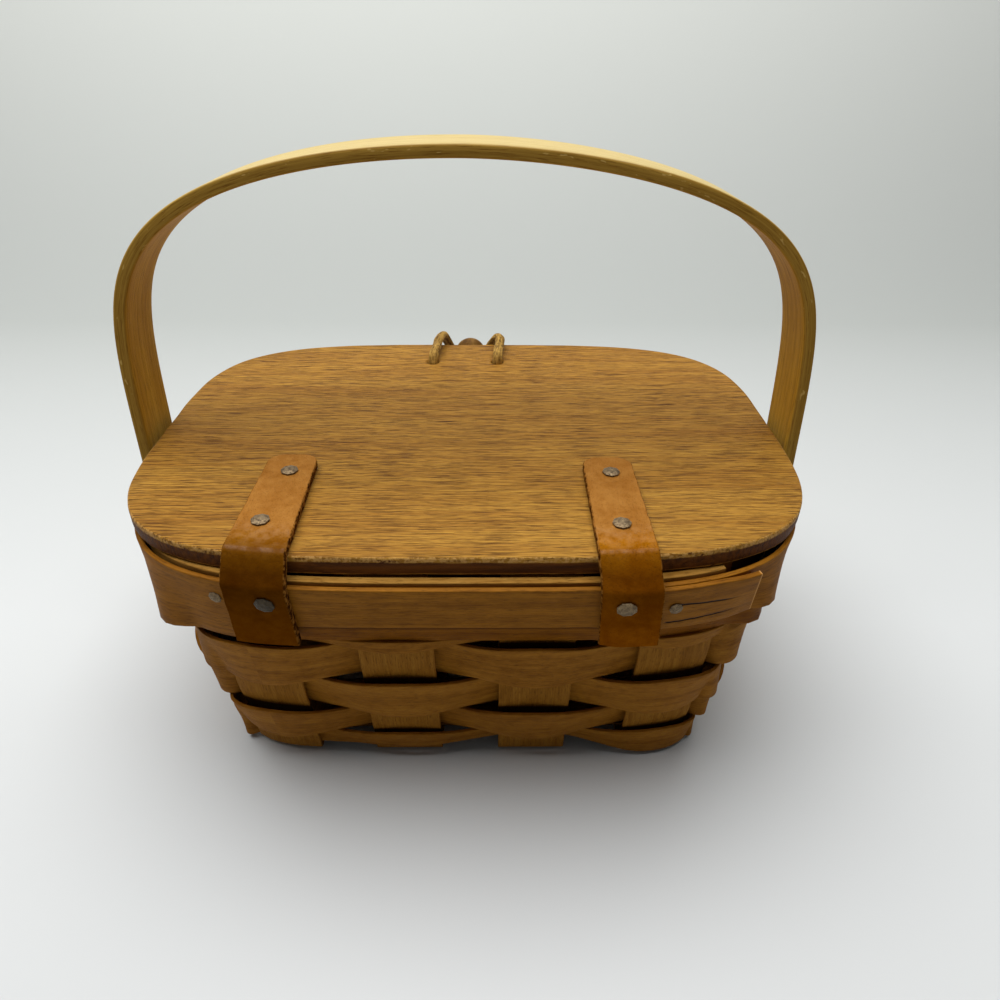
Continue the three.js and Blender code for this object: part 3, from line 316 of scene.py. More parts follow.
lace_line = bent_through(lace_route, 12)
lace_run = run_of(lace_line)
lace_turn = full_turn(20)
lace_tangent = unit(np.gradient(lace_line, axis=0))
loop_middle = np.array([-2.5, 80, 92])
lace_side = unit(np.cross(lace_tangent, lace_line - loop_middle))
lace_lift = np.cross(lace_side, lace_tangent)
lace_edge = 1 + 0.07 * ripple(lace_run[:, None] * 0.9, lace_turn[None, :] * 2, 3)
lace_flat, lace_thick = (np.sign(wave) * np.abs(wave) ** 0.7 * half for wave, half in (
    (np.cos(lace_turn), 2.1), (np.sin(lace_turn), 1.7)))
lace = build("lace", lace_line[:, None, :]
             + lace_side[:, None, :] * (lace_flat[None, :] * lace_edge)[..., None]
             + lace_lift[:, None, :] * (lace_thick[None, :] * lace_edge)[..., None], sharp=80)
dry_leather = Finish("dry_lace_leather", Roughness=0.75, Specular_IOR_Level=0.15)
strand = 0.5 * dry_leather.streaks(90, 1400, 3, 2.0) + 0.5 * dry_leather.streaks(620, 900, 3, 9.0)
dry_leather.surface(
    Base_Color=dry_leather.mix(strand.between(0.36, 0.64), tint(72, 46, 10), tint(196, 154, 74)),
    Normal=dry_leather.relief(strand, 0.0005, 1.0))
stand_in(lace, dry_leather, "closure_lace", "lid")


# The knots: the lace's two ends, each tied in a small lump under the lid so that it can't pull out.
def turned_about(profile, turns, centre, way, facing, bumps=None):
    """Profile of (radius, distance along way) pairs carried round way from centre. facing is the
    direction of the first line, and bumps scales each line's radius."""
    way = unit(np.array(way, float))
    first = unit(np.array(facing, float) - way * np.dot(way, facing))
    second = np.cross(way, first)
    angle = full_turn(turns)
    swell = 1.0 if bumps is None else bumps(profile[:, None, 1], angle[None, :])
    radius = profile[:, None, 0] * swell * np.ones((1, turns))
    round_line = np.cos(angle)[None, :, None] * first + np.sin(angle)[None, :, None] * second
    return np.array(centre) + radius[..., None] * round_line + profile[:, None, 1, None] * way


def wound(high, angle):
    """Swell of a knot: two strands laid over each other, so the ridges climb as they go round."""
    return 1 + 0.11 * np.sin(2 * angle + high * 1.1) - 0.05 * np.cos(3 * angle - high)


knot_rise = np.linspace(0.06, np.pi - 0.06, 15)
knot_profile = np.stack([3.75 * np.sin(knot_rise), -2.75 * np.cos(knot_rise)], 1)
knot_drop, lace_knots = 3.24, []
for side, knot_x in (("left", left_hole), ("right", right_hole)):
    knot_middle = (knot_x, hole_y, lid_low - knot_drop)
    knot = build("knot_" + side, turned_about(knot_profile, 28, knot_middle, (0, 0, 1), (1, 0, 0), wound),
                 sharp=80)
    stand_in(knot, dry_leather, "lace_knot_" + side, "lid")
    lace_knots.append(knot)
lace_path = in_metres(lace_line)


# The uprights: seven thin shaved splints. Each goes up one wall, under the basket and up the other
# wall. On the floor they are plaited, one over and one under.
splint_width, splint_thick, weave_step, floor_middle, foot_bend = 24.6, 1.2, 0.75, 1.35, 2.5
cross_gap, long_gap = 45.6, 39.5
cross_x = np.array([-1.5, -0.5, 0.5, 1.5]) * cross_gap
long_y = np.array([-1, 0, 1]) * long_gap
row_low = np.array([7.5, 15.3, 29.7, 47.4, 66.5])
row_top = np.array([14.7, 29.1, 46.8, 65.9, 69.5])
row_wide = row_top - row_low
floor_wall, rim_wall = (87, 62, 7.2), (106, 79, 3.9)


def wall_size(z):
    """Half length, half depth and squareness of the wall at height z, in even steps to the rim."""
    return (low + (high - low) * (z / rim_top) for low, high in zip(floor_wall, rim_wall))


def oval_edge(x, a, b, n):
    """How far a squared oval stands out at x: b times (1 - |x / a|^n)^(1 / n)."""
    return b * np.maximum(1 - np.abs(x / a) ** n, 1e-9) ** (1 / n)


def oval_points(angle, a, b, n):
    """Points of a squared oval at these angles, (|cos / a|^n + |sin / b|^n)^(-1 / n) out."""
    radius = (np.abs(np.cos(angle) / a) ** n + np.abs(np.sin(angle) / b) ** n) ** (-1 / n)
    return np.stack([radius * np.cos(angle), radius * np.sin(angle)], 1)


def wall_y(x, z):
    """How far the wall stands out along Y at x."""
    a, b, n = wall_size(z)
    return oval_edge(x, a, b, n)


def wall_x(y, z):
    """How far the wall stands out along X at y."""
    a, b, n = wall_size(z)
    return oval_edge(y, b, a, n)


def flat_section(width, thick, ease, columns=7):
    """Section of a thin strip as distances across and up: two flat faces joined by edges whose
    corners are rounded to the radius ease."""
    turn = np.linspace(0, np.pi / 2, 4)
    flat, level = width / 2 - ease, thick / 2 - ease
    across = np.concatenate([np.linspace(-1, 1, columns) * flat, flat + ease * np.sin(turn[1:]),
                             flat + ease * np.cos(turn[:-1])])
    up = np.concatenate([np.full(columns, thick / 2), level + ease * np.cos(turn[1:]),
                         -level - ease * np.sin(turn[:-1])])
    return np.concatenate([across, -across]), np.concatenate([up, -up])


def slope_along(line, ring):
    """Way along a line at each of its points, from the one before it to the one after it."""
    return np.roll(line, -1, 0) - np.roll(line, 1, 0) if ring else np.gradient(line, axis=0)


def on_surface(lay, across, up, ring=False):
    """Section carried along a surface. lay(s) is the surface's line at distance s from its middle
    line, and the section stands off it along the cross product of its two slopes."""
    face = lay(across)
    side = lay(across + 0.4) - lay(across - 0.4)
    return face + unit(np.cross(slope_along(face, ring), side)) * up[:, None]


def in_front(k, upright):
    """Whether weaver k passes in front of an upright: it goes behind the next one."""
    return (k + upright) % 2 == 1


def pressed(z, upright):
    """How far the weavers push an upright out: half a sine wave over each row, outwards where the
    weaver passes behind the upright and inwards where it passes in front."""
    push = np.zeros_like(z)
    for k in range(5):
        out = -1.0 if in_front(k, upright) else 1.0
        share = np.clip((z - row_low[k]) / row_wide[k], 0, 1)
        push += out * min(0.75, 0.05 * row_wide[k]) * np.sin(np.pi * share)
    return push


def pocket(height, ends):
    """Share of painted shade on an upright: 1 on its hidden stretch, down in the pocket behind each
    weaver that passes in front of it, for all lines of a splint whose two ends are these uprights."""
    dark = np.zeros(len(height))
    first = np.arange(len(height)) < len(height) / 2
    for k in range(5):
        covered = [in_front(k, upright) for upright in ends]
        inside = (height > row_low[k]) & (height < row_top[k] + 3)
        share = np.clip((row_top[k] + 1.6 - height) / 0.9, 0, 1)
        dark = np.maximum(dark, share * inside * np.where(first, covered[0], covered[1]))
    return dark[:, None]


def splint_lines(middle, crossings, over_first, reach, ends, s):
    """Lines of a splint at distances s from its middle, as (side, along, height). It stands at
    reach(side, z) up both walls, turns in with a quarter circle and weaves across the floor."""
    side = middle + s
    z = np.linspace(rim_top - 0.8, floor_middle + foot_bend, 144)[:, None]
    wall = reach(side[None, :], z)
    first_wall, last_wall = wall + pressed(z, ends[0]), wall + pressed(z, ends[1])
    turn = np.linspace(np.pi / 2, 0, 8)[1:, None]
    foot = reach(side[None, :], floor_middle + foot_bend) - foot_bend
    bend_out = foot + foot_bend * np.sin(turn)
    bend_z = floor_middle + foot_bend - foot_bend * np.cos(turn)
    half = splint_width / 2 + 0.4
    steps = [(c + e * half, floor_middle + (weave_step if (k % 2 == 0) == over_first else -weave_step))
             for k, c in enumerate(crossings) for e in (-1, 0, 1)]
    places, heights = np.array(steps).T
    along = np.interp(np.arange(4 * len(places) - 3) / 4, np.arange(len(places)), places)
    floor_z = np.interp(along, places, heights)
    out = np.concatenate([-first_wall, -bend_out, np.repeat(along[:, None], side.size, 1),
                          bend_out[::-1], last_wall[::-1]])
    high = np.concatenate([z, bend_z, floor_z[:, None], bend_z[::-1], z[::-1]])
    return np.stack(np.broadcast_arrays(side, out, high), -1)


splint_wood = Finish("shaved_splint_wood", Roughness=0.6, Specular_IOR_Level=0.05)
hair = splint_wood.streaks(110, 2600, 3, 1.0)
band_of_grain = splint_wood.streaks(12, 700, 3, 4.0)
cloud = splint_wood.streaks(60, 90, 3, 9.0)
grain_tone = (0.45 * hair + 0.3 * band_of_grain + 0.25 * cloud).between(0.36, 0.64)
pore = splint_wood.streaks(420, 3600, 2, 7.0).between(0.56, 0.7)
splint_colour = splint_wood.mix(grain_tone, tint(120, 74, 14), tint(162, 111, 40))
# Painted shade: the uprights turn nearly black down in the pockets behind the weavers.
painted_pocket_shade = splint_wood.marked("pocket")
splint_colour = splint_wood.mix(pore * 0.55, splint_colour, tint(82, 44, 4))
splint_wood.surface(
    Base_Color=splint_wood.mix(painted_pocket_shade * 0.9, splint_colour, tint(30, 8, 2)),
    Roughness=0.55 + 0.2 * hair,
    Normal=splint_wood.relief(hair - 0.6 * pore, 0.00025, 0.7))
splint_across, splint_up = flat_section(splint_width, splint_thick, 0.25)


def upright(kind, k, start, ends, lay):
    """Splint number k of the cross or the long ones, from its lines lay(s)."""
    points = on_surface(lay, splint_across, splint_up)
    strip = build(f"upright_{kind}_{k + 1}", points, start=start,
                  marks={"pocket": pocket(points[:, 0, 2], ends)})
    stand_in(strip, splint_wood, f"{kind}_splint_{k + 1}", "basket")


for k in range(4):
    upright("cross", k, 0.37 * k, (k, 10 - k),
            lambda s: splint_lines(cross_x[k], long_y, k % 2 == 0, wall_y, (k, 10 - k), s))
turned_over = np.array([1, -1, 1])
for k in range(3):
    upright("long", k, 2.1 + 0.41 * k, (13 - k, 4 + k),
            lambda s: splint_lines(-long_y[k], cross_x, k % 2 == 1, wall_x, (13 - k, 4 + k), s)[
                ..., [1, 0, 2]] * turned_over)


# The weavers: five splints woven round the wall, over one upright and under the next. They get
# wider from row to row, and of the last one only the lower part shows under the rim. They bow well
# out in front of an upright, tip their upper edge out, and their lower edge flares at the corners.
seat, full_width = 1.5, 14


def outline(z):
    """The wall at height z as angles, every quarter of a degree, and points, with the distance run
    along them."""
    angle = np.linspace(0, 2 * np.pi, 1441)
    points = oval_points(angle, *wall_size(z))
    return angle, points, run_of(points)


def upright_runs(z, ahead=0.0):
    """Distance along the outline at height z of each upright, anticlockwise from the hinge side's
    left, or of points that lie a distance ahead of each upright's middle."""
    x1, y1, x2, y2 = cross_x + ahead, long_y + ahead, cross_x[::-1] - ahead, long_y[::-1] - ahead
    x = np.concatenate([x1, wall_x(y1, z), x2, -wall_x(y2, z)])
    y = np.concatenate([-wall_y(x1, z), y1, wall_y(x2, z), y2])
    angle, _, run = outline(z)
    return np.interp(np.mod(np.arctan2(y, x), 2 * np.pi), angle, run)


def round_wall(z, place):
    """Points on the wall at height z. A place counts uprights round the basket from the first one,
    and runs evenly between each and the next."""
    _, points, run = outline(z)
    first = upright_runs(z)
    rising = first[0] + np.mod(first - first[0], run[-1])
    turns = np.arange(-1, 3)[:, None]
    at = np.interp(place, (np.arange(14) + 14 * turns).ravel(), (rising + run[-1] * turns).ravel())
    x, y = (np.interp(np.mod(at, run[-1]), run, points[:, axis]) for axis in (0, 1))
    return np.stack([x, y, np.full(len(place), z)], -1)


def hoop(low_z, high_z, place, low_off, high_off, thick, ring=False, dip=0.0, lift=0.0, slide=0.0,
         ease=0.3, columns=7):
    """Points of a strip round the wall: its two edges stand off the wall by low_off and high_off,
    square to it, and it is straight from one edge to the other. dip lowers its low edge, lift
    raises its high one and slide moves the low one on."""
    low, high = round_wall(low_z, place + slide), round_wall(high_z, place)
    rise = high - low
    edges = []
    for line, off, more in ((low, low_off, -dip), (high, high_off, lift)):
        outwards = unit(np.cross(slope_along(line, ring), rise))
        edge = line + outwards * np.broadcast_to(off, place.shape)[:, None]
        edge[:, 2] += more
        edges.append(edge)
    low, high = edges
    width = np.mean(np.linalg.norm(high - low, axis=1))

    def lay(s):
        return low[:, None] + (high - low)[:, None] * (s / width + 0.5)[:, None]
    return on_surface(lay, *flat_section(width, thick, ease, columns), ring)


def upright_edges(z):
    """How far each upright reaches ahead of its middle, as a share of the gap to the next one, and
    how far the next one reaches back."""
    total = outline(z)[2][-1]
    middle = upright_runs(z)
    half = splint_width / 2 + 0.9
    front = np.mod(upright_runs(z, half) - middle, total)
    back = np.mod(middle - upright_runs(z, -half), total)
    gap = np.mod(np.roll(middle, -1) - middle, total)
    return front / gap, np.roll(back, -1) / gap


def corner_share(z, place):
    """0 at the uprights and along the sides, and sin^2 over the free stretch of each corner."""
    edge, next_edge = upright_edges(z)
    turn = np.mod(place, 14)
    at = np.minimum(np.floor(turn).astype(int), 13)
    share = (turn - at - edge[at]) / (1 - edge[at] - next_edge[at])
    inside = np.isin(at, (3, 6, 10, 13)) & (share > 0) & (share < 1)
    return np.where(inside, np.sin(np.pi * np.clip(share, 0, 1)) ** 2, 0.0)


def woven_places(k, flare):
    """Places of weaver k, and how far its low and its high edge stand off the wall there: a parabola
    over each upright, out or in, that just clears its edges, and a straight stretch to the next. A
    narrow row tips out less. flare is how far the low edge stands out at the far corners, the near
    right one and the near left one. Last comes the bow of the strip's edges where it passes in
    front, cos^2 from the upright's middle to the crossing."""
    z, full = row_low[k], min(1, row_wide[k] / full_width)
    edge, next_edge = (share[:, None] for share in upright_edges(z))
    sign = np.where(in_front(k, np.arange(14)), 1.0, -1.0)[:, None]
    rise, fall = np.linspace(0, 1, 7)[None, :], np.linspace(1, 0, 7)[None, :-1]
    level = np.linspace(0, 1, 14)[None, 1:-1]
    low_stands = seat, seat + 1.1, -seat - 1.1 * full, -seat - 0.5 - 1.2 * full
    high_stands = seat + 1.9 * full, seat + 1.1 + 2.4 * full, -seat, -seat - 0.5
    place = np.concatenate([rise * edge, edge + (1 - next_edge - edge) * level, 1 - fall * next_edge], 1)
    place = (place[:, :-1] + np.arange(14)[:, None]).ravel()
    stands = []
    for out_side, out_peak, in_side, in_peak in (low_stands, high_stands):
        side_now, side_next = (np.where(turn > 0, out_side, in_side) for turn in (sign, -sign))
        peak_now, peak_next = (np.where(turn > 0, out_peak, in_peak) for turn in (sign, -sign))
        stand = np.concatenate([peak_now + (side_now - peak_now) * rise ** 2,
                                side_now + (side_next - side_now) * level,
                                peak_next + (side_next - peak_next) * fall ** 2], 1)
        stands.append(stand[:, :-1].ravel())
    crossing = edge + (1 - next_edge - edge) / 2
    turn = place.reshape(14, -1) - np.arange(14)[:, None]
    bow = ((sign > 0) * np.cos(np.pi / 2 * np.minimum(turn / crossing, 1)) ** 2
           + (sign < 0) * np.cos(np.pi / 2 * np.minimum((1 - turn) / (1 - crossing), 1)) ** 2)
    flared = np.select([(place > 2) & (place < 5), place > 12], flare[1:], flare[0])
    return place, stands[0] + flared * corner_share(z, place) ** 0.35, stands[1], bow.ravel()


def smooth_step(t):
    """0 below 0 and 1 above 1, with a soft rise, 3 t^2 - 2 t^3."""
    c = np.clip(t, 0, 1)
    return c * c * (3 - 2 * c)


weaver_wood = Finish("shaved_weaver_wood", Roughness=0.55, Specular_IOR_Level=0.05)
fibre = weaver_wood.streaks(90, 1900, 3, 3.0)
broad = weaver_wood.streaks(9, 200, 3, 6.0)
mottle = weaver_wood.streaks(220, 420, 3, 14.0)
fleck = weaver_wood.streaks(480, 3000, 2, 8.0).between(0.56, 0.7)
weaver_tone = (0.35 * fibre + 0.35 * broad + 0.3 * mottle).between(0.38, 0.62)
weaver_colour = weaver_wood.mix(weaver_tone, tint(118, 71, 12), tint(160, 107, 34))
weaver_wood.surface(
    Base_Color=weaver_wood.mix(fleck * 0.55, weaver_colour, tint(86, 48, 6)),
    Roughness=0.5 + 0.2 * fibre,
    Normal=weaver_wood.relief(fibre - 0.5 * fleck, 0.00022, 0.6))
row_flare = (2, 2.6, 2.6), (3, 4.5, 2.5), (3, 5, 3.5), (3, 5, 4), (2, 3, 2)
corner_places, corner_dip, row_dip = np.array([3.5, 6.5, 10.5, 13.5]), 5.0, 2.0
for k in range(5):
    place, low_off, high_off, bow = woven_places(k, row_flare[k])
    from_corner = np.abs(np.mod(place[:, None] - corner_places + 7, 14) - 7).min(1)
    dip = corner_dip * smooth_step((1.25 - from_corner) / 0.75) if k == 0 else row_dip * bow
    lift = (2.6 if k < 4 else 1.2) * bow
    strip = hoop(row_low[k], row_top[k], place, low_off, high_off, splint_thick, True, dip, lift,
                 ease=0.25)
    weaver = build(f"weaver_row_{k + 1}", strip, True, start=4 + 0.73 * k)
    stand_in(weaver, weaver_wood, f"weaver_{k + 1}", "basket")


# The rim: a wide thin band under the others, a thicker one inside, a filler strip on the body's
# edge, and an outer band that laps over its own start. All are bent strips held by small tacks.
def place_at(x, z):
    """Place on the hinge side of a point of the wall at x."""
    angle, _, run = outline(z)
    at = np.interp(np.mod(np.arctan2(-wall_y(x, z), x), 2 * np.pi), angle, run)
    first = upright_runs(z)
    rising = first[0] + np.append(np.mod(first - first[0], run[-1]), run[-1])
    return np.interp(first[0] + np.mod(at - first[0], run[-1]), rising, np.arange(15))


band_low, band_top, band_thick = 78.9, 97.9, 1.6
low_stand, top_stand, lap_stand, end_lift = 3.4, 5.2, 1.9, 1.2
climb_x, start_x, end_x = 38.0, 50.0, 84.0
band_first, band_last = place_at(start_x, band_top), 14 + place_at(end_x, band_top)
lap_start, lap_full = 14 + place_at(climb_x, band_top), 13.95 + band_first


def band_stand(place):
    """The outer band's distances off the wall at its low and high edge: it climbs onto its own
    start, flares at the corners' low edge, and its showing end curls out at the top."""
    lap = lap_stand * smooth_step((place - lap_start) / (lap_full - lap_start))
    lift = end_lift * smooth_step((place - band_last + 0.25) / 0.25)
    return low_stand + lap + 5 * corner_share(band_low, place), top_stand + lap + lift


def rim_finish(name, dark, light, seed):
    """Straight-grained strip: fibres along it, mottled tone changes and short dark pore dashes."""
    finish = Finish(name, Roughness=0.5, Specular_IOR_Level=0.06)
    fine = finish.streaks(60, 2100, 3, seed)
    wide = finish.streaks(7, 260, 3, seed + 2)
    blot = finish.streaks(120, 260, 3, seed + 4)
    dash = finish.streaks(320, 3600, 2, seed + 5).between(0.55, 0.68)
    tone = (0.35 * fine + 0.35 * wide + 0.3 * blot).between(0.38, 0.62)
    wood_colour = finish.mix(dash * 0.55, finish.mix(tone, dark, light), tint(70, 38, 3))
    finish.surface(
        Base_Color=wood_colour,
        Roughness=0.45 + 0.2 * fine,
        Normal=finish.relief(fine - 0.5 * dash, 0.00022, 0.6))
    return finish, wood_colour, fine


band_wood, band_colour, band_fibre = rim_finish(
    "outer_band_wood", tint(114, 68, 8), tint(154, 100, 24), 1.0)
under_wood, under_colour, under_fibre = rim_finish(
    "under_band_wood", tint(104, 58, 3), tint(138, 84, 10), 11.0)
# Painted shadow: a dark line on the under band just below the outer band's low edge.
painted_under_band_shadow = (under_wood.place_along("Z") + 0.0003 * under_fibre).between(0.0752, 0.0764)
under_wood.surface(Base_Color=under_wood.mix(painted_under_band_shadow * 0.8, under_colour, tint(36, 12, 2)))
filler_wood = rim_finish("filler_edge_wood", tint(150, 102, 36), tint(194, 146, 70), 21.0)[0]
# Two cracks run along the grain from the last tack to near the band's showing end.
crack_to = 0.0835
crack_x, crack_y, crack_z = (band_wood.place_along(axis) for axis in "XYZ")
wander = band_wood.streaks(160, 160, 2, 33.0, band_wood.place()) - 0.5
crack_mask = 0.0
for crack_height, crack_slope, crack_left, crack_wide in ((0.0896, -0.06, 0.0615, 0.00022),
                                                          (0.0812, 0.07, 0.0600, 0.00020)):
    off_line = crack_z - crack_height - crack_slope * (crack_x - crack_left) - 0.0009 * wander
    across_line = 1 - band_wood.math("ABSOLUTE", off_line).between(crack_wide, 2.2 * crack_wide)
    open_end = 1 - crack_x.between(crack_to - 0.006, crack_to)
    along_line = crack_x.between(crack_left, crack_left + 0.001) * open_end
    crack_mask = across_line * along_line * (1 - crack_y.between(-0.08, -0.075)) + crack_mask
ended_colour = band_wood.mix(band_wood.marked("end"), band_colour, tint(206, 152, 84))
band_wood.surface(
    Base_Color=band_wood.mix(crack_mask, ended_colour, tint(24, 9, 2)),
    Normal=band_wood.relief(band_fibre - 3.0 * crack_mask, 0.00022, 0.6))
ring_places = np.arange(0, 14, 1 / 16)
for name, node, low_z, high_z, off, flare, thick, wood in (
        ("under_rim_band", "under_band", 70.1, 91.75, 1.6, 5.0, 1.4, under_wood),
        ("inside_rim_band", "inner_band", 78.77, 97.77, -2.15, 0.0, 2.5, under_wood)):
    low_off = off + flare * corner_share(low_z, ring_places)
    strip = hoop(low_z, high_z, ring_places, low_off, off, thick, True)
    band = build(name, strip, True, start=low_z * 0.1)
    stand_in(band, wood, node, "basket")
filler_low, filler_stand, filler_thick, filler_first, filler_last = 92.05, 2.1, 2.4, 101.5, 76.5
filler_places = np.linspace(place_at(filler_first, band_top), 14 + place_at(filler_last, band_top), 240)
strip = hoop(filler_low, rim_top, filler_places, filler_stand, filler_stand, filler_thick)
filler = build("rim_filler", strip, start=0.9)
stand_in(filler, filler_wood, "filler_strip", "basket")
band_places = np.append(np.linspace(band_first, band_last, 300)[:-1], [band_last - 0.008, band_last])
sag_depth, sag_first, sag_last, sag_ease = 7.0, 12.9, 14.42, 0.4
sag = sag_depth * smooth_step((sag_last - band_places) / sag_ease) * smooth_step(
    (band_places - sag_first) / sag_ease)
end_slant = 0.07 * smooth_step((band_places - band_last + 0.8) / 0.8)
strip = hoop(band_low, band_top, band_places, *band_stand(band_places), band_thick, dip=sag,
             slide=end_slant, columns=9)
outer = build("outer_rim_band", strip, start=0.2,
              marks={"end": (band_places > band_last - 0.004)[:, None] * 1.0})
stand_in(outer, band_wood, "outer_band", "basket")


# The fasteners: dull grey steel. Eight small tacks hold the rim, a rivet holds each strap to it,
# four nails hold the straps to the lid, a bigger rivet is each of the handle's pivots, and a screw
# holds the knob from inside.
def steel_finish(name, dark, light):
    """Grey metal gone dull: soft patches between two tones, and fine dark pits."""
    finish = Finish(name, Metallic=1.0, Roughness=0.42)
    at = finish.place()
    speck = finish.streaks(900, 900, 3, 1.0, at)
    pit = finish.streaks(2600, 2600, 2, 4.0, at).between(0.56, 0.66)
    finish.surface(
        Base_Color=finish.mix(pit, finish.mix(speck.between(0.35, 0.65), dark, light), tint(40, 28, 14)),
        Metallic=0.8 - 0.4 * pit,
        Roughness=0.4 + 0.3 * speck,
        Normal=finish.relief(speck - 0.5 * pit, 0.0003, 0.5))
    return finish


steel = steel_finish("dull_grey_steel", tint(96, 78, 56), tint(140, 120, 90))
dark_steel = steel_finish("dark_aged_steel", tint(46, 38, 26), tint(76, 66, 50))
for node in [f"rim_tack_{k}" for k in range(1, 9)] + [
        "strap_rivet_left", "strap_rivet_right", "lid_nail_left_upper", "lid_nail_left_lower",
        "lid_nail_right_upper", "lid_nail_right_lower", "handle_rivet_left", "handle_rivet_right",
        "knob_screw"]:
    (dark_steel if node == "strap_rivet_left" else steel).on(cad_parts[node])


# The handle: one strip of wood, steamed and bent into an arch, with round ends on its two pivots.
# It leans back a little towards the knob side.
arch_half, arch_rise, lean, pivot_z = 118.4, 117.3, math.radians(4.2), 83.5
handle_width, handle_thick, foot_top = 23.0, 4.2, 14


def arch_lines(s):
    """Lines of the arch at distances s from its middle line, in its own upright plane:
    x = a cos^(2 / p), z = h sin^(2 / q), with p and q a little different on its two sides, straight
    feet below the pivots, a crown set off sideways and the strip turned level at the crown."""
    angle = np.linspace(0, np.pi, 241)[1:-1]
    c, q = np.cos(angle), np.sin(angle)
    x = np.sign(c) * arch_half * np.abs(c) ** np.where(c > 0, 2 / 1.8, 2 / 2.06)
    z = arch_rise * q ** np.where(c > 0, 2 / 5.8, 2 / 5.2)
    feet = np.linspace(-handle_width / 2 + 0.01, foot_top - 1, 22)
    above = z > foot_top
    x = np.concatenate([0 * feet + arch_half, x[above], 0 * feet - arch_half])
    z = np.concatenate([feet, z[above], feet[::-1]])
    x = x - 1.95 * (z / arch_rise) ** 2
    level = math.radians(3.6) * np.maximum(z / arch_rise, 0)[:, None] ** 3
    return np.stack(np.broadcast_arrays(
        x[:, None], s * np.cos(level), z[:, None] + s * np.sin(level)), -1)


arch_z = arch_lines(np.zeros(1))[:, 0, 2]
end_width = np.sqrt(np.maximum((handle_width / 2) ** 2 - arch_z ** 2, 0.3))
half_width = np.where(arch_z < 0, end_width, handle_width / 2)
across, up = flat_section(handle_width, handle_thick, 0.9, 9)
narrowed = np.clip(across[None, :] / (handle_width / 2), -1, 1) * half_width[:, None]
flat_arch = on_surface(arch_lines, narrowed, up)
leaned = flat_arch @ np.array([[1, 0, 0], [0, math.cos(lean), -math.sin(lean)],
                               [0, math.sin(lean), math.cos(lean)]])
crown_from, crown_to = 62, 102
high_share = smooth_step((arch_z - crown_from) / (crown_to - crown_from))
outer_face = smooth_step((-up - handle_thick / 2 + 0.5) / 0.35)
flank_share = smooth_step((np.abs(across) - handle_width / 2 + 0.7) / 0.5)
handle_wood = Finish("bent_handle_wood", Roughness=0.5, Specular_IOR_Level=0.03, Coat_Roughness=0.3)
on_crown, on_flank = handle_wood.marked("crown"), handle_wood.marked("flank")
long_grain = handle_wood.streaks(26, 1700, 4, 2.0)
soft_grain = handle_wood.streaks(4, 260, 3, 5.0)
handle_dash = handle_wood.streaks(150, 2800, 2, 7.0).between(0.56, 0.68)
handle_tone = (0.55 * long_grain + 0.45 * soft_grain).between(0.36, 0.64)
leg_colour = handle_wood.mix(handle_tone, tint(164, 117, 30), tint(206, 160, 58))
# Painted highlight: the crown's upper face takes a pale cream colour where the lamp light falls on it.
painted_highlight_top_colour = handle_wood.mix(handle_tone, tint(188, 162, 92), tint(208, 186, 126))
flank_colour = handle_wood.mix(handle_tone, tint(130, 94, 32), tint(174, 136, 58))
handle_colour = handle_wood.mix(on_flank, handle_wood.mix(on_crown, leg_colour, painted_highlight_top_colour), flank_colour)
chip = handle_wood.streaks(240, 700, 2, 17.0).between(0.66, 0.7) * on_flank * 0.5
dashed = handle_dash * 0.55 * (1 - 0.6 * on_crown)
dashed_colour = handle_wood.mix(dashed, handle_colour, tint(98, 58, 10))
handle_wood.surface(
    Base_Color=handle_wood.mix(chip, dashed_colour, tint(214, 180, 104)),
    Roughness=0.42 + 0.2 * long_grain,
    Coat_Weight=0.25 * on_crown,
    Normal=handle_wood.relief(long_grain - 0.4 * handle_dash, 0.0002, 0.5))
handle = build("bent_handle", leaned + np.array([0, 0, pivot_z]), start=0.3,
               marks={"crown": high_share[:, None] * outer_face, "flank": flank_share[None, :]})
stand_in(handle, handle_wood, "handle", "handle")


# The turned pieces: a wooden washer between the rim and each leg of the handle, and the knob that
# the lace goes round, a stem with a wider head, screwed on from inside.
turned_wood = Finish("turned_knob_wood", Roughness=0.5, Specular_IOR_Level=0.06)
ring_grain = turned_wood.streaks(300, 300, 3, 3.0, turned_wood.place(), 30)
turned_wood.surface(
    Base_Color=turned_wood.mix(ring_grain.between(0.36, 0.64), tint(88, 58, 22), tint(132, 96, 44)),
    Roughness=0.36 + 0.2 * ring_grain,
    Normal=turned_wood.relief(ring_grain, 0.0002, 0.5))
for node in ("handle_spacer_left", "handle_spacer_right"):
    turned_wood.on(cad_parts[node])
knob_profile = np.array([[4.7, 0], [4.3, 1], [4.0, 2.2], [3.9, 4], [3.9, 15.4], [4.3, 16.6], [5.2, 17.6],
                         [6.3, 18.4], [6.95, 19.3], [7.2, 20.4], [7.2, 21.6], [6.9, 22.5], [6.1, 23.2],
                         [4.6, 23.7], [2.4, 23.95], [0.3, 24.0]])
knob_root = (-2.5, 84.35, 93.0)
knob = build("lace_knob", turned_about(knob_profile, 40, knob_root, (0, 1, 0), (1, 0, 0)), sharp=60)
stand_in(knob, turned_wood, "knob", "basket")
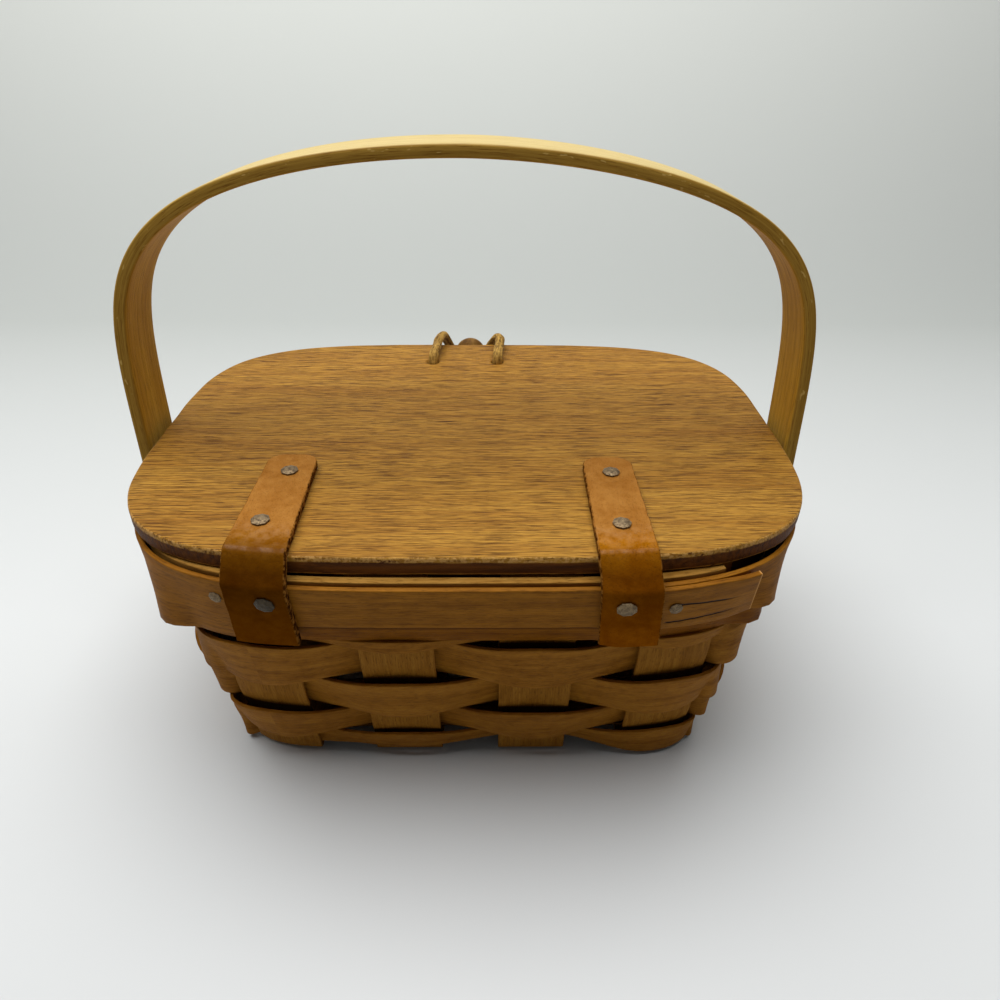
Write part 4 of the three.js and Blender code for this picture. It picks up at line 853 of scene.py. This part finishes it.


# The lid: one board of open-pored brown wood with rounded ends, its grain along the length. Its edge
# is left rougher than its face and painted darker as shade, and two small holes are drilled for the lace.
lid_half, lid_deep, lid_middle, lid_square = 113.2, 82.3, 2.6, 3.9
lid_angle = full_turn(360)
lid_rim = oval_points(lid_angle, lid_half, lid_deep, lid_square)
edge_out = np.gradient(np.vstack([lid_rim[-1:], lid_rim, lid_rim[:1]]), axis=0)[1:-1]
edge_out = unit(np.stack([edge_out[:, 1], -edge_out[:, 0]], 1))
ease, face_rings = 0.8, 24
ease_turn = np.linspace(0, np.pi / 2, 5)
eased_in, face_in = ease - ease * np.sin(ease_turn), np.zeros(face_rings)
rim_in = np.concatenate([face_in, [1.1], eased_in, eased_in[::-1], [1.1], face_in])
rim_up = np.concatenate([
    np.full(face_rings + 1, lid_top), lid_top - ease + ease * np.cos(ease_turn),
    (lid_low + ease - ease * np.cos(ease_turn))[::-1], np.full(face_rings + 1, lid_low)])
worn = 0.12 * ripple(lid_angle[None, :] * 40, rim_up[:, None] * 1.2, 8)
lid_grid = np.zeros((len(rim_up), len(lid_rim), 3))
inset = rim_in[:, None] - worn * (rim_in[:, None] < 1)
lid_grid[..., :2] = lid_rim - edge_out * inset[..., None]
lid_grid[..., 2] = rim_up[:, None]
lid_face = lid_rim * np.linspace(0.02, 0.985, face_rings)[:, None, None]
lid_grid[:face_rings, :, :2], lid_grid[-face_rings:, :, :2] = lid_face, lid_face[::-1]
lid_grid[..., 1] += lid_middle
lid = build("lid_board", lid_grid)
drill_radius = 2.9
drill_profile = np.array([[drill_radius, rise] for rise in (-9, -3.3, 3.3, 9)])
for hole_x in (left_hole, right_hole):
    drill_middle = (hole_x, hole_y, 101.8)
    drill = build("lace_drill", turned_about(drill_profile, 32, drill_middle, (0, 0, 1), (1, 0, 0)))
    bored = lid.modifiers.new("hole", "BOOLEAN")
    bored.operation = "DIFFERENCE"
    bored.solver = "EXACT"
    bored.object = drill
    settled = bpy.data.meshes.new_from_object(lid.evaluated_get(bpy.context.evaluated_depsgraph_get()))
    lid.modifiers.clear()
    lid.data = settled
    bpy.data.objects.remove(drill)
lid_wood = Finish("lid_board_wood", Roughness=0.5, Specular_IOR_Level=0.1)
board = lid_wood.place()
lid_pore = lid_wood.streaks(60, 2700, 2, 1.0, board, 900).between(0.56, 0.6)
lid_tick = lid_wood.streaks(200, 3400, 1, 13.0, board, 900).between(0.55, 0.58)
lid_fine = lid_wood.streaks(26, 2300, 4, 3.0, board, 500)
lid_wide = lid_wood.streaks(6, 110, 3, 6.0, board, 60)
lid_zone = lid_wood.streaks(9, 22, 2, 21.0, board, 20).between(0.35, 0.65)
lid_tone = (0.65 * lid_fine + 0.35 * lid_wide).between(0.38, 0.62)
lid_height = lid_wood.place_along("Z")
rough_height = lid_height + 0.0006 * (lid_fine - 0.5)
# Painted shade: the board's edge, below the arris, takes a dark brown in place of the face colour.
over_low_face = rough_height.between(lid_low / 1000 + 0.0004, lid_low / 1000 + 0.0009)
flank = over_low_face * (1 - rough_height.between(0.1030, 0.1035))
face_colour = lid_wood.mix(lid_tone, tint(146, 98, 30), tint(176, 130, 50))
pore_share = (lid_pore + 0.6 * lid_tick) * (0.6 + 0.35 * lid_zone)
face_colour = lid_wood.mix(pore_share, face_colour, tint(76, 40, 8))
painted_side_shade = lid_wood.mix(lid_fine.between(0.35, 0.65), tint(58, 26, 2), tint(98, 54, 10))
# The pale fuzzy arris is partly wear and partly a painted highlight.
worn_and_lit_arris = lid_height.between(0.1030, 0.1036) * (1 - lid_height.between(0.10485, 0.10497))
lid_colour = lid_wood.mix(flank, face_colour, painted_side_shade)
fuzz = lid_wood.streaks(900, 900, 2, 31.0, board).between(0.42, 0.6)
lid_wood.surface(
    Base_Color=lid_wood.mix(worn_and_lit_arris * fuzz * 0.8, lid_colour, tint(196, 150, 84)),
    Roughness=0.45 + 0.25 * lid_fine,
    Normal=lid_wood.relief(lid_fine - 0.8 * lid_pore - 0.4 * lid_tick, 0.0003, 0.6))
stand_in(lid, lid_wood, "lid", "lid")


# The hinge straps: two strips of thick oiled leather with round ends, nailed to the lid, bent down
# over its edge and riveted to the rim. They are the lid's only hinge.
strap_thick, strap_off, strap_top_width, tip_corner = 2.8, 1.7, 16.6, 5.0


def lid_edge_y(x):
    """The lid's hinge edge at x."""
    return lid_middle - oval_edge(x, lid_half, lid_deep, lid_square)


def strap_lines(x, part, t, tip, drop):
    """Side view of a strap at positions x: along the lid (part 0), round its arris (1), straight to
    the outer band (2), round that band's top edge (3) and down its face (4), t through each."""
    lapped = np.where(x > climb_x, 14.0, 0.0)
    low_off, top_off = band_stand(place_at(x, band_top) + lapped)
    arris_y, top_y = lid_edge_y(x), -wall_y(x, band_top) - top_off - band_thick / 2
    low_y = -wall_y(x, band_low) - low_off - band_thick / 2
    down = np.array([low_y - top_y, band_low - band_top + 0 * x]) / np.hypot(
        low_y - top_y, band_low - band_top)
    slope = np.arctan2(band_top - lid_top, top_y - arris_y) % (2 * np.pi) - np.pi / 2
    face = np.arctan2(down[1], down[0]) % (2 * np.pi) - np.pi / 2

    def round_arris(turn):
        return np.array([arris_y + strap_off * np.cos(turn), lid_top + strap_off * np.sin(turn)])

    def round_band(turn):
        return np.array([top_y + strap_off * np.cos(turn), band_top + strap_off * np.sin(turn)])
    on_lid = np.array([tip + (arris_y - tip) * t, lid_top + strap_off + 0 * x])
    leaving, landing = round_arris(slope), round_band(slope)
    return np.stack([x, *np.choose(part, [
        on_lid, round_arris(np.pi / 2 + (slope - np.pi / 2) * t), leaving + (landing - leaving) * t,
        round_band(slope + (face - slope) * t), round_band(face) + down * drop * t])], -1)


def strap_leather(name, bend_tone, upper_tone, end_tone):
    """Oiled hide: patches, fine grain and dark follicles, pale where it lies on the lid, orange and
    glossy at the bend and dark brown below it, with granular raw edges. The three tones are how
    bright the bend, the part under it and the low end are: partly the hide's own tone and partly
    painted shade, darker on the left strap."""
    finish = Finish(name, Roughness=0.5, Specular_IOR_Level=0.0, Coat_Roughness=0.3)
    way, raw = finish.marked("way"), finish.marked("edge")
    hide, grained = finish.streaks(700, 700, 3, 2.0), finish.streaks(330, 330, 2, 12.0)
    patch = finish.streaks(90, 90, 3, 5.0)
    follicle = finish.streaks(2400, 2400, 2, 8.0).between(0.58, 0.68)
    worn_tone = (0.6 * patch + 0.4 * grained).between(0.36, 0.64)

    def toned(dark, light, tone):
        return finish.mix(worn_tone, tint(*(v * tone for v in dark)), tint(*(v * tone for v in light)))
    colour = finish.mix(way.between(0.47, 0.56), toned((142, 90, 32), (164, 112, 50), 1),
                        toned((134, 78, 2), (160, 102, 8), bend_tone))
    low_way = way + 0.06 * (patch - 0.5)
    colour = finish.mix(low_way.between(0.54, 0.66), colour, toned((98, 50, 2), (118, 66, 6), upper_tone))
    colour = finish.mix(low_way.between(0.66, 0.96), colour, toned((98, 50, 2), (118, 66, 6), end_tone))
    colour = finish.mix(follicle * 0.45, colour, tint(92, 48, 8))
    raw_colour = finish.mix(hide.between(0.42, 0.62), tint(56, 26, 4), tint(150, 100, 42))
    glossy = way.between(0.44, 0.5) * (1 - way.between(0.54, 0.62))
    worn_gloss = 0.06 + 0.5 * glossy * grained.between(0.4, 0.62)
    finish.surface(
        Base_Color=finish.mix(raw, colour, raw_colour),
        Roughness=0.5 + 0.2 * hide,
        Coat_Weight=worn_gloss * (1 - raw) * (1 - way.between(0.6, 0.7)),
        Normal=finish.relief(0.6 * grained + 0.5 * hide - 0.4 * follicle + raw * hide, 0.0006, 0.6))
    return finish


strap_steps = [44, 9, 8, 9, 26]
strap_part = np.repeat(np.arange(5), strap_steps)[:, None]
strap_t = np.concatenate([np.linspace(0, 1, n + (part < 4))[:n] for part, n in enumerate(strap_steps)])
# The left strap's tones are darker: partly the hide's own tone, partly painted shade.
for side, strap_x, tip, low_width, drop, splay, tones, luck_seed, start in (
        ("left", -59.5, -25.2, 20.0, 26.2, -1.5, (0.86, 0.74, 0.95), 31, 1.0),
        ("right", 47.2, -27.3, 18.2, 24.7, 2.9, (1.06, 0.9, 1.2), 32, 1.7)):
    middle_x = np.full(strap_part.shape, strap_x)
    run = run_of(strap_lines(middle_x, strap_part, strap_t[:, None], tip, drop)[:, 0])
    short = np.maximum(0, 1 - (run / tip_corner + 0.03))
    half = (strap_top_width + (low_width - strap_top_width) * run / run[-1]) / 2
    half = half - tip_corner * (1 - np.sqrt(1 - short ** 2))
    crease = run[np.argmax(strap_part == 1)]
    middle_x = strap_x + splay * np.maximum(0, (run - crease) / (run[-1] - crease))
    across, up = flat_section(low_width, strap_thick, 0.55, 11)
    rough = 1 + 0.012 * ripple(run[:, None] * 0.8, np.sign(across)[None, :] * 3, luck_seed)
    spread_x = across[None, :] / (low_width / 2) * half[:, None] * rough

    def strap_lay(s):
        return strap_lines(middle_x[:, None] + s, strap_part, strap_t[:, None], tip, drop)
    edge_mark = smooth_step((np.abs(across) - (low_width / 2 - 0.5)) / 0.4)
    strap = build("leather_strap_" + side, on_surface(strap_lay, spread_x, up), sharp=60, start=start,
                  marks={"way": (run / run[-1])[:, None], "edge": edge_mark[None, :]})
    strap_leather("oiled_leather_" + side, *tones).on(strap)
    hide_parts("hinge_strap_" + side)
    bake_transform(strap)


# The room: one pale sheet that is the floor and sweeps up behind as a wall, and a soft lamp above
# and a little behind the basket, so that its front stands in a half shadow.
sweep_radius, sweep_back, sweep_reach, sweep_top = 0.6, 1.0, 2.5, 2.2
sweep_turn = np.linspace(0, np.pi / 2, 25)
sweep_y = np.concatenate([np.linspace(-sweep_reach, sweep_back - sweep_radius, 12)[:-1],
                          sweep_back - sweep_radius + sweep_radius * np.sin(sweep_turn), [sweep_back]])
sweep_z = np.concatenate([np.zeros(11), sweep_radius - sweep_radius * np.cos(sweep_turn), [sweep_top]])
sweep_x = np.array([-sweep_reach, sweep_reach])
sweep_points = np.stack(np.broadcast_arrays(sweep_x, sweep_y[:, None], sweep_z[:, None]), -1)
sweep_low = np.arange(len(sweep_y) - 1) * 2
sweep_mesh = bpy.data.meshes.new("paper_sweep")
sweep_mesh.from_pydata(sweep_points.reshape(-1, 3).tolist(), [],
                       np.stack([sweep_low, sweep_low + 1, sweep_low + 3, sweep_low + 2], 1).tolist())
sweep_mesh.polygons.foreach_set("use_smooth", np.ones(len(sweep_mesh.polygons), bool))
sweep = put_in("paper_sweep", sweep_mesh)
pale_paper = Finish("pale_paper", Roughness=0.9, Specular_IOR_Level=0.1)
# Painted light and shade on the sheet: a grey floor, a darker grey at the foot of the wall, near white
# high up.
far_part = pale_paper.place_along("Y").between(0.0, 0.4)
painted_light_by_height = pale_paper.place_along("Z").between(0.0, 0.6)
wall_colour_with_painted_light = pale_paper.mix(painted_light_by_height, tint(176, 179, 176), tint(252, 254, 248))
pale_paper.surface(Base_Color=pale_paper.mix(far_part, tint(208, 210, 210), wall_colour_with_painted_light))
pale_paper.on(sweep)
world = bpy.data.worlds.new("room_light")
bpy.context.scene.world = world
world.use_nodes = True
sky = Nodes(world.node_tree)
background = world.node_tree.nodes["Background"]
sky.feed(background.inputs["Color"], (1, 1, 1, 1))
looked_at = 0.0
for ray in ("Is Camera Ray", "Is Glossy Ray", "Is Transmission Ray"):
    looked_at = sky.math("MAXIMUM", sky.node("ShaderNodeLightPath", {}, {}, ray), looked_at)
seen_light, room_light = 0.5, 0.08
sky.feed(background.inputs["Strength"], seen_light * looked_at + room_light)
lamp_data = bpy.data.lights.new("soft_overhead_lamp", "AREA")
lamp_data.shape = "RECTANGLE"
lamp_data.size, lamp_data.size_y = 1.6, 1.1
lamp_data.energy = 26
lamp = put_in("soft_overhead_lamp", lamp_data)
lamp_place, lamp_aim = np.array([-0.15, 0.12, 1.25]), np.array([0, 0, 0.08])
aim_z = unit(lamp_place - lamp_aim)
aim_x = unit(np.cross([0, 1, 0], aim_z))
aim_y = np.cross(aim_z, aim_x)
lamp.matrix_world = standing(lamp_place.tolist(), np.stack([aim_x, aim_y, aim_z], 1))
bpy.context.scene.view_settings.view_transform = "Standard"
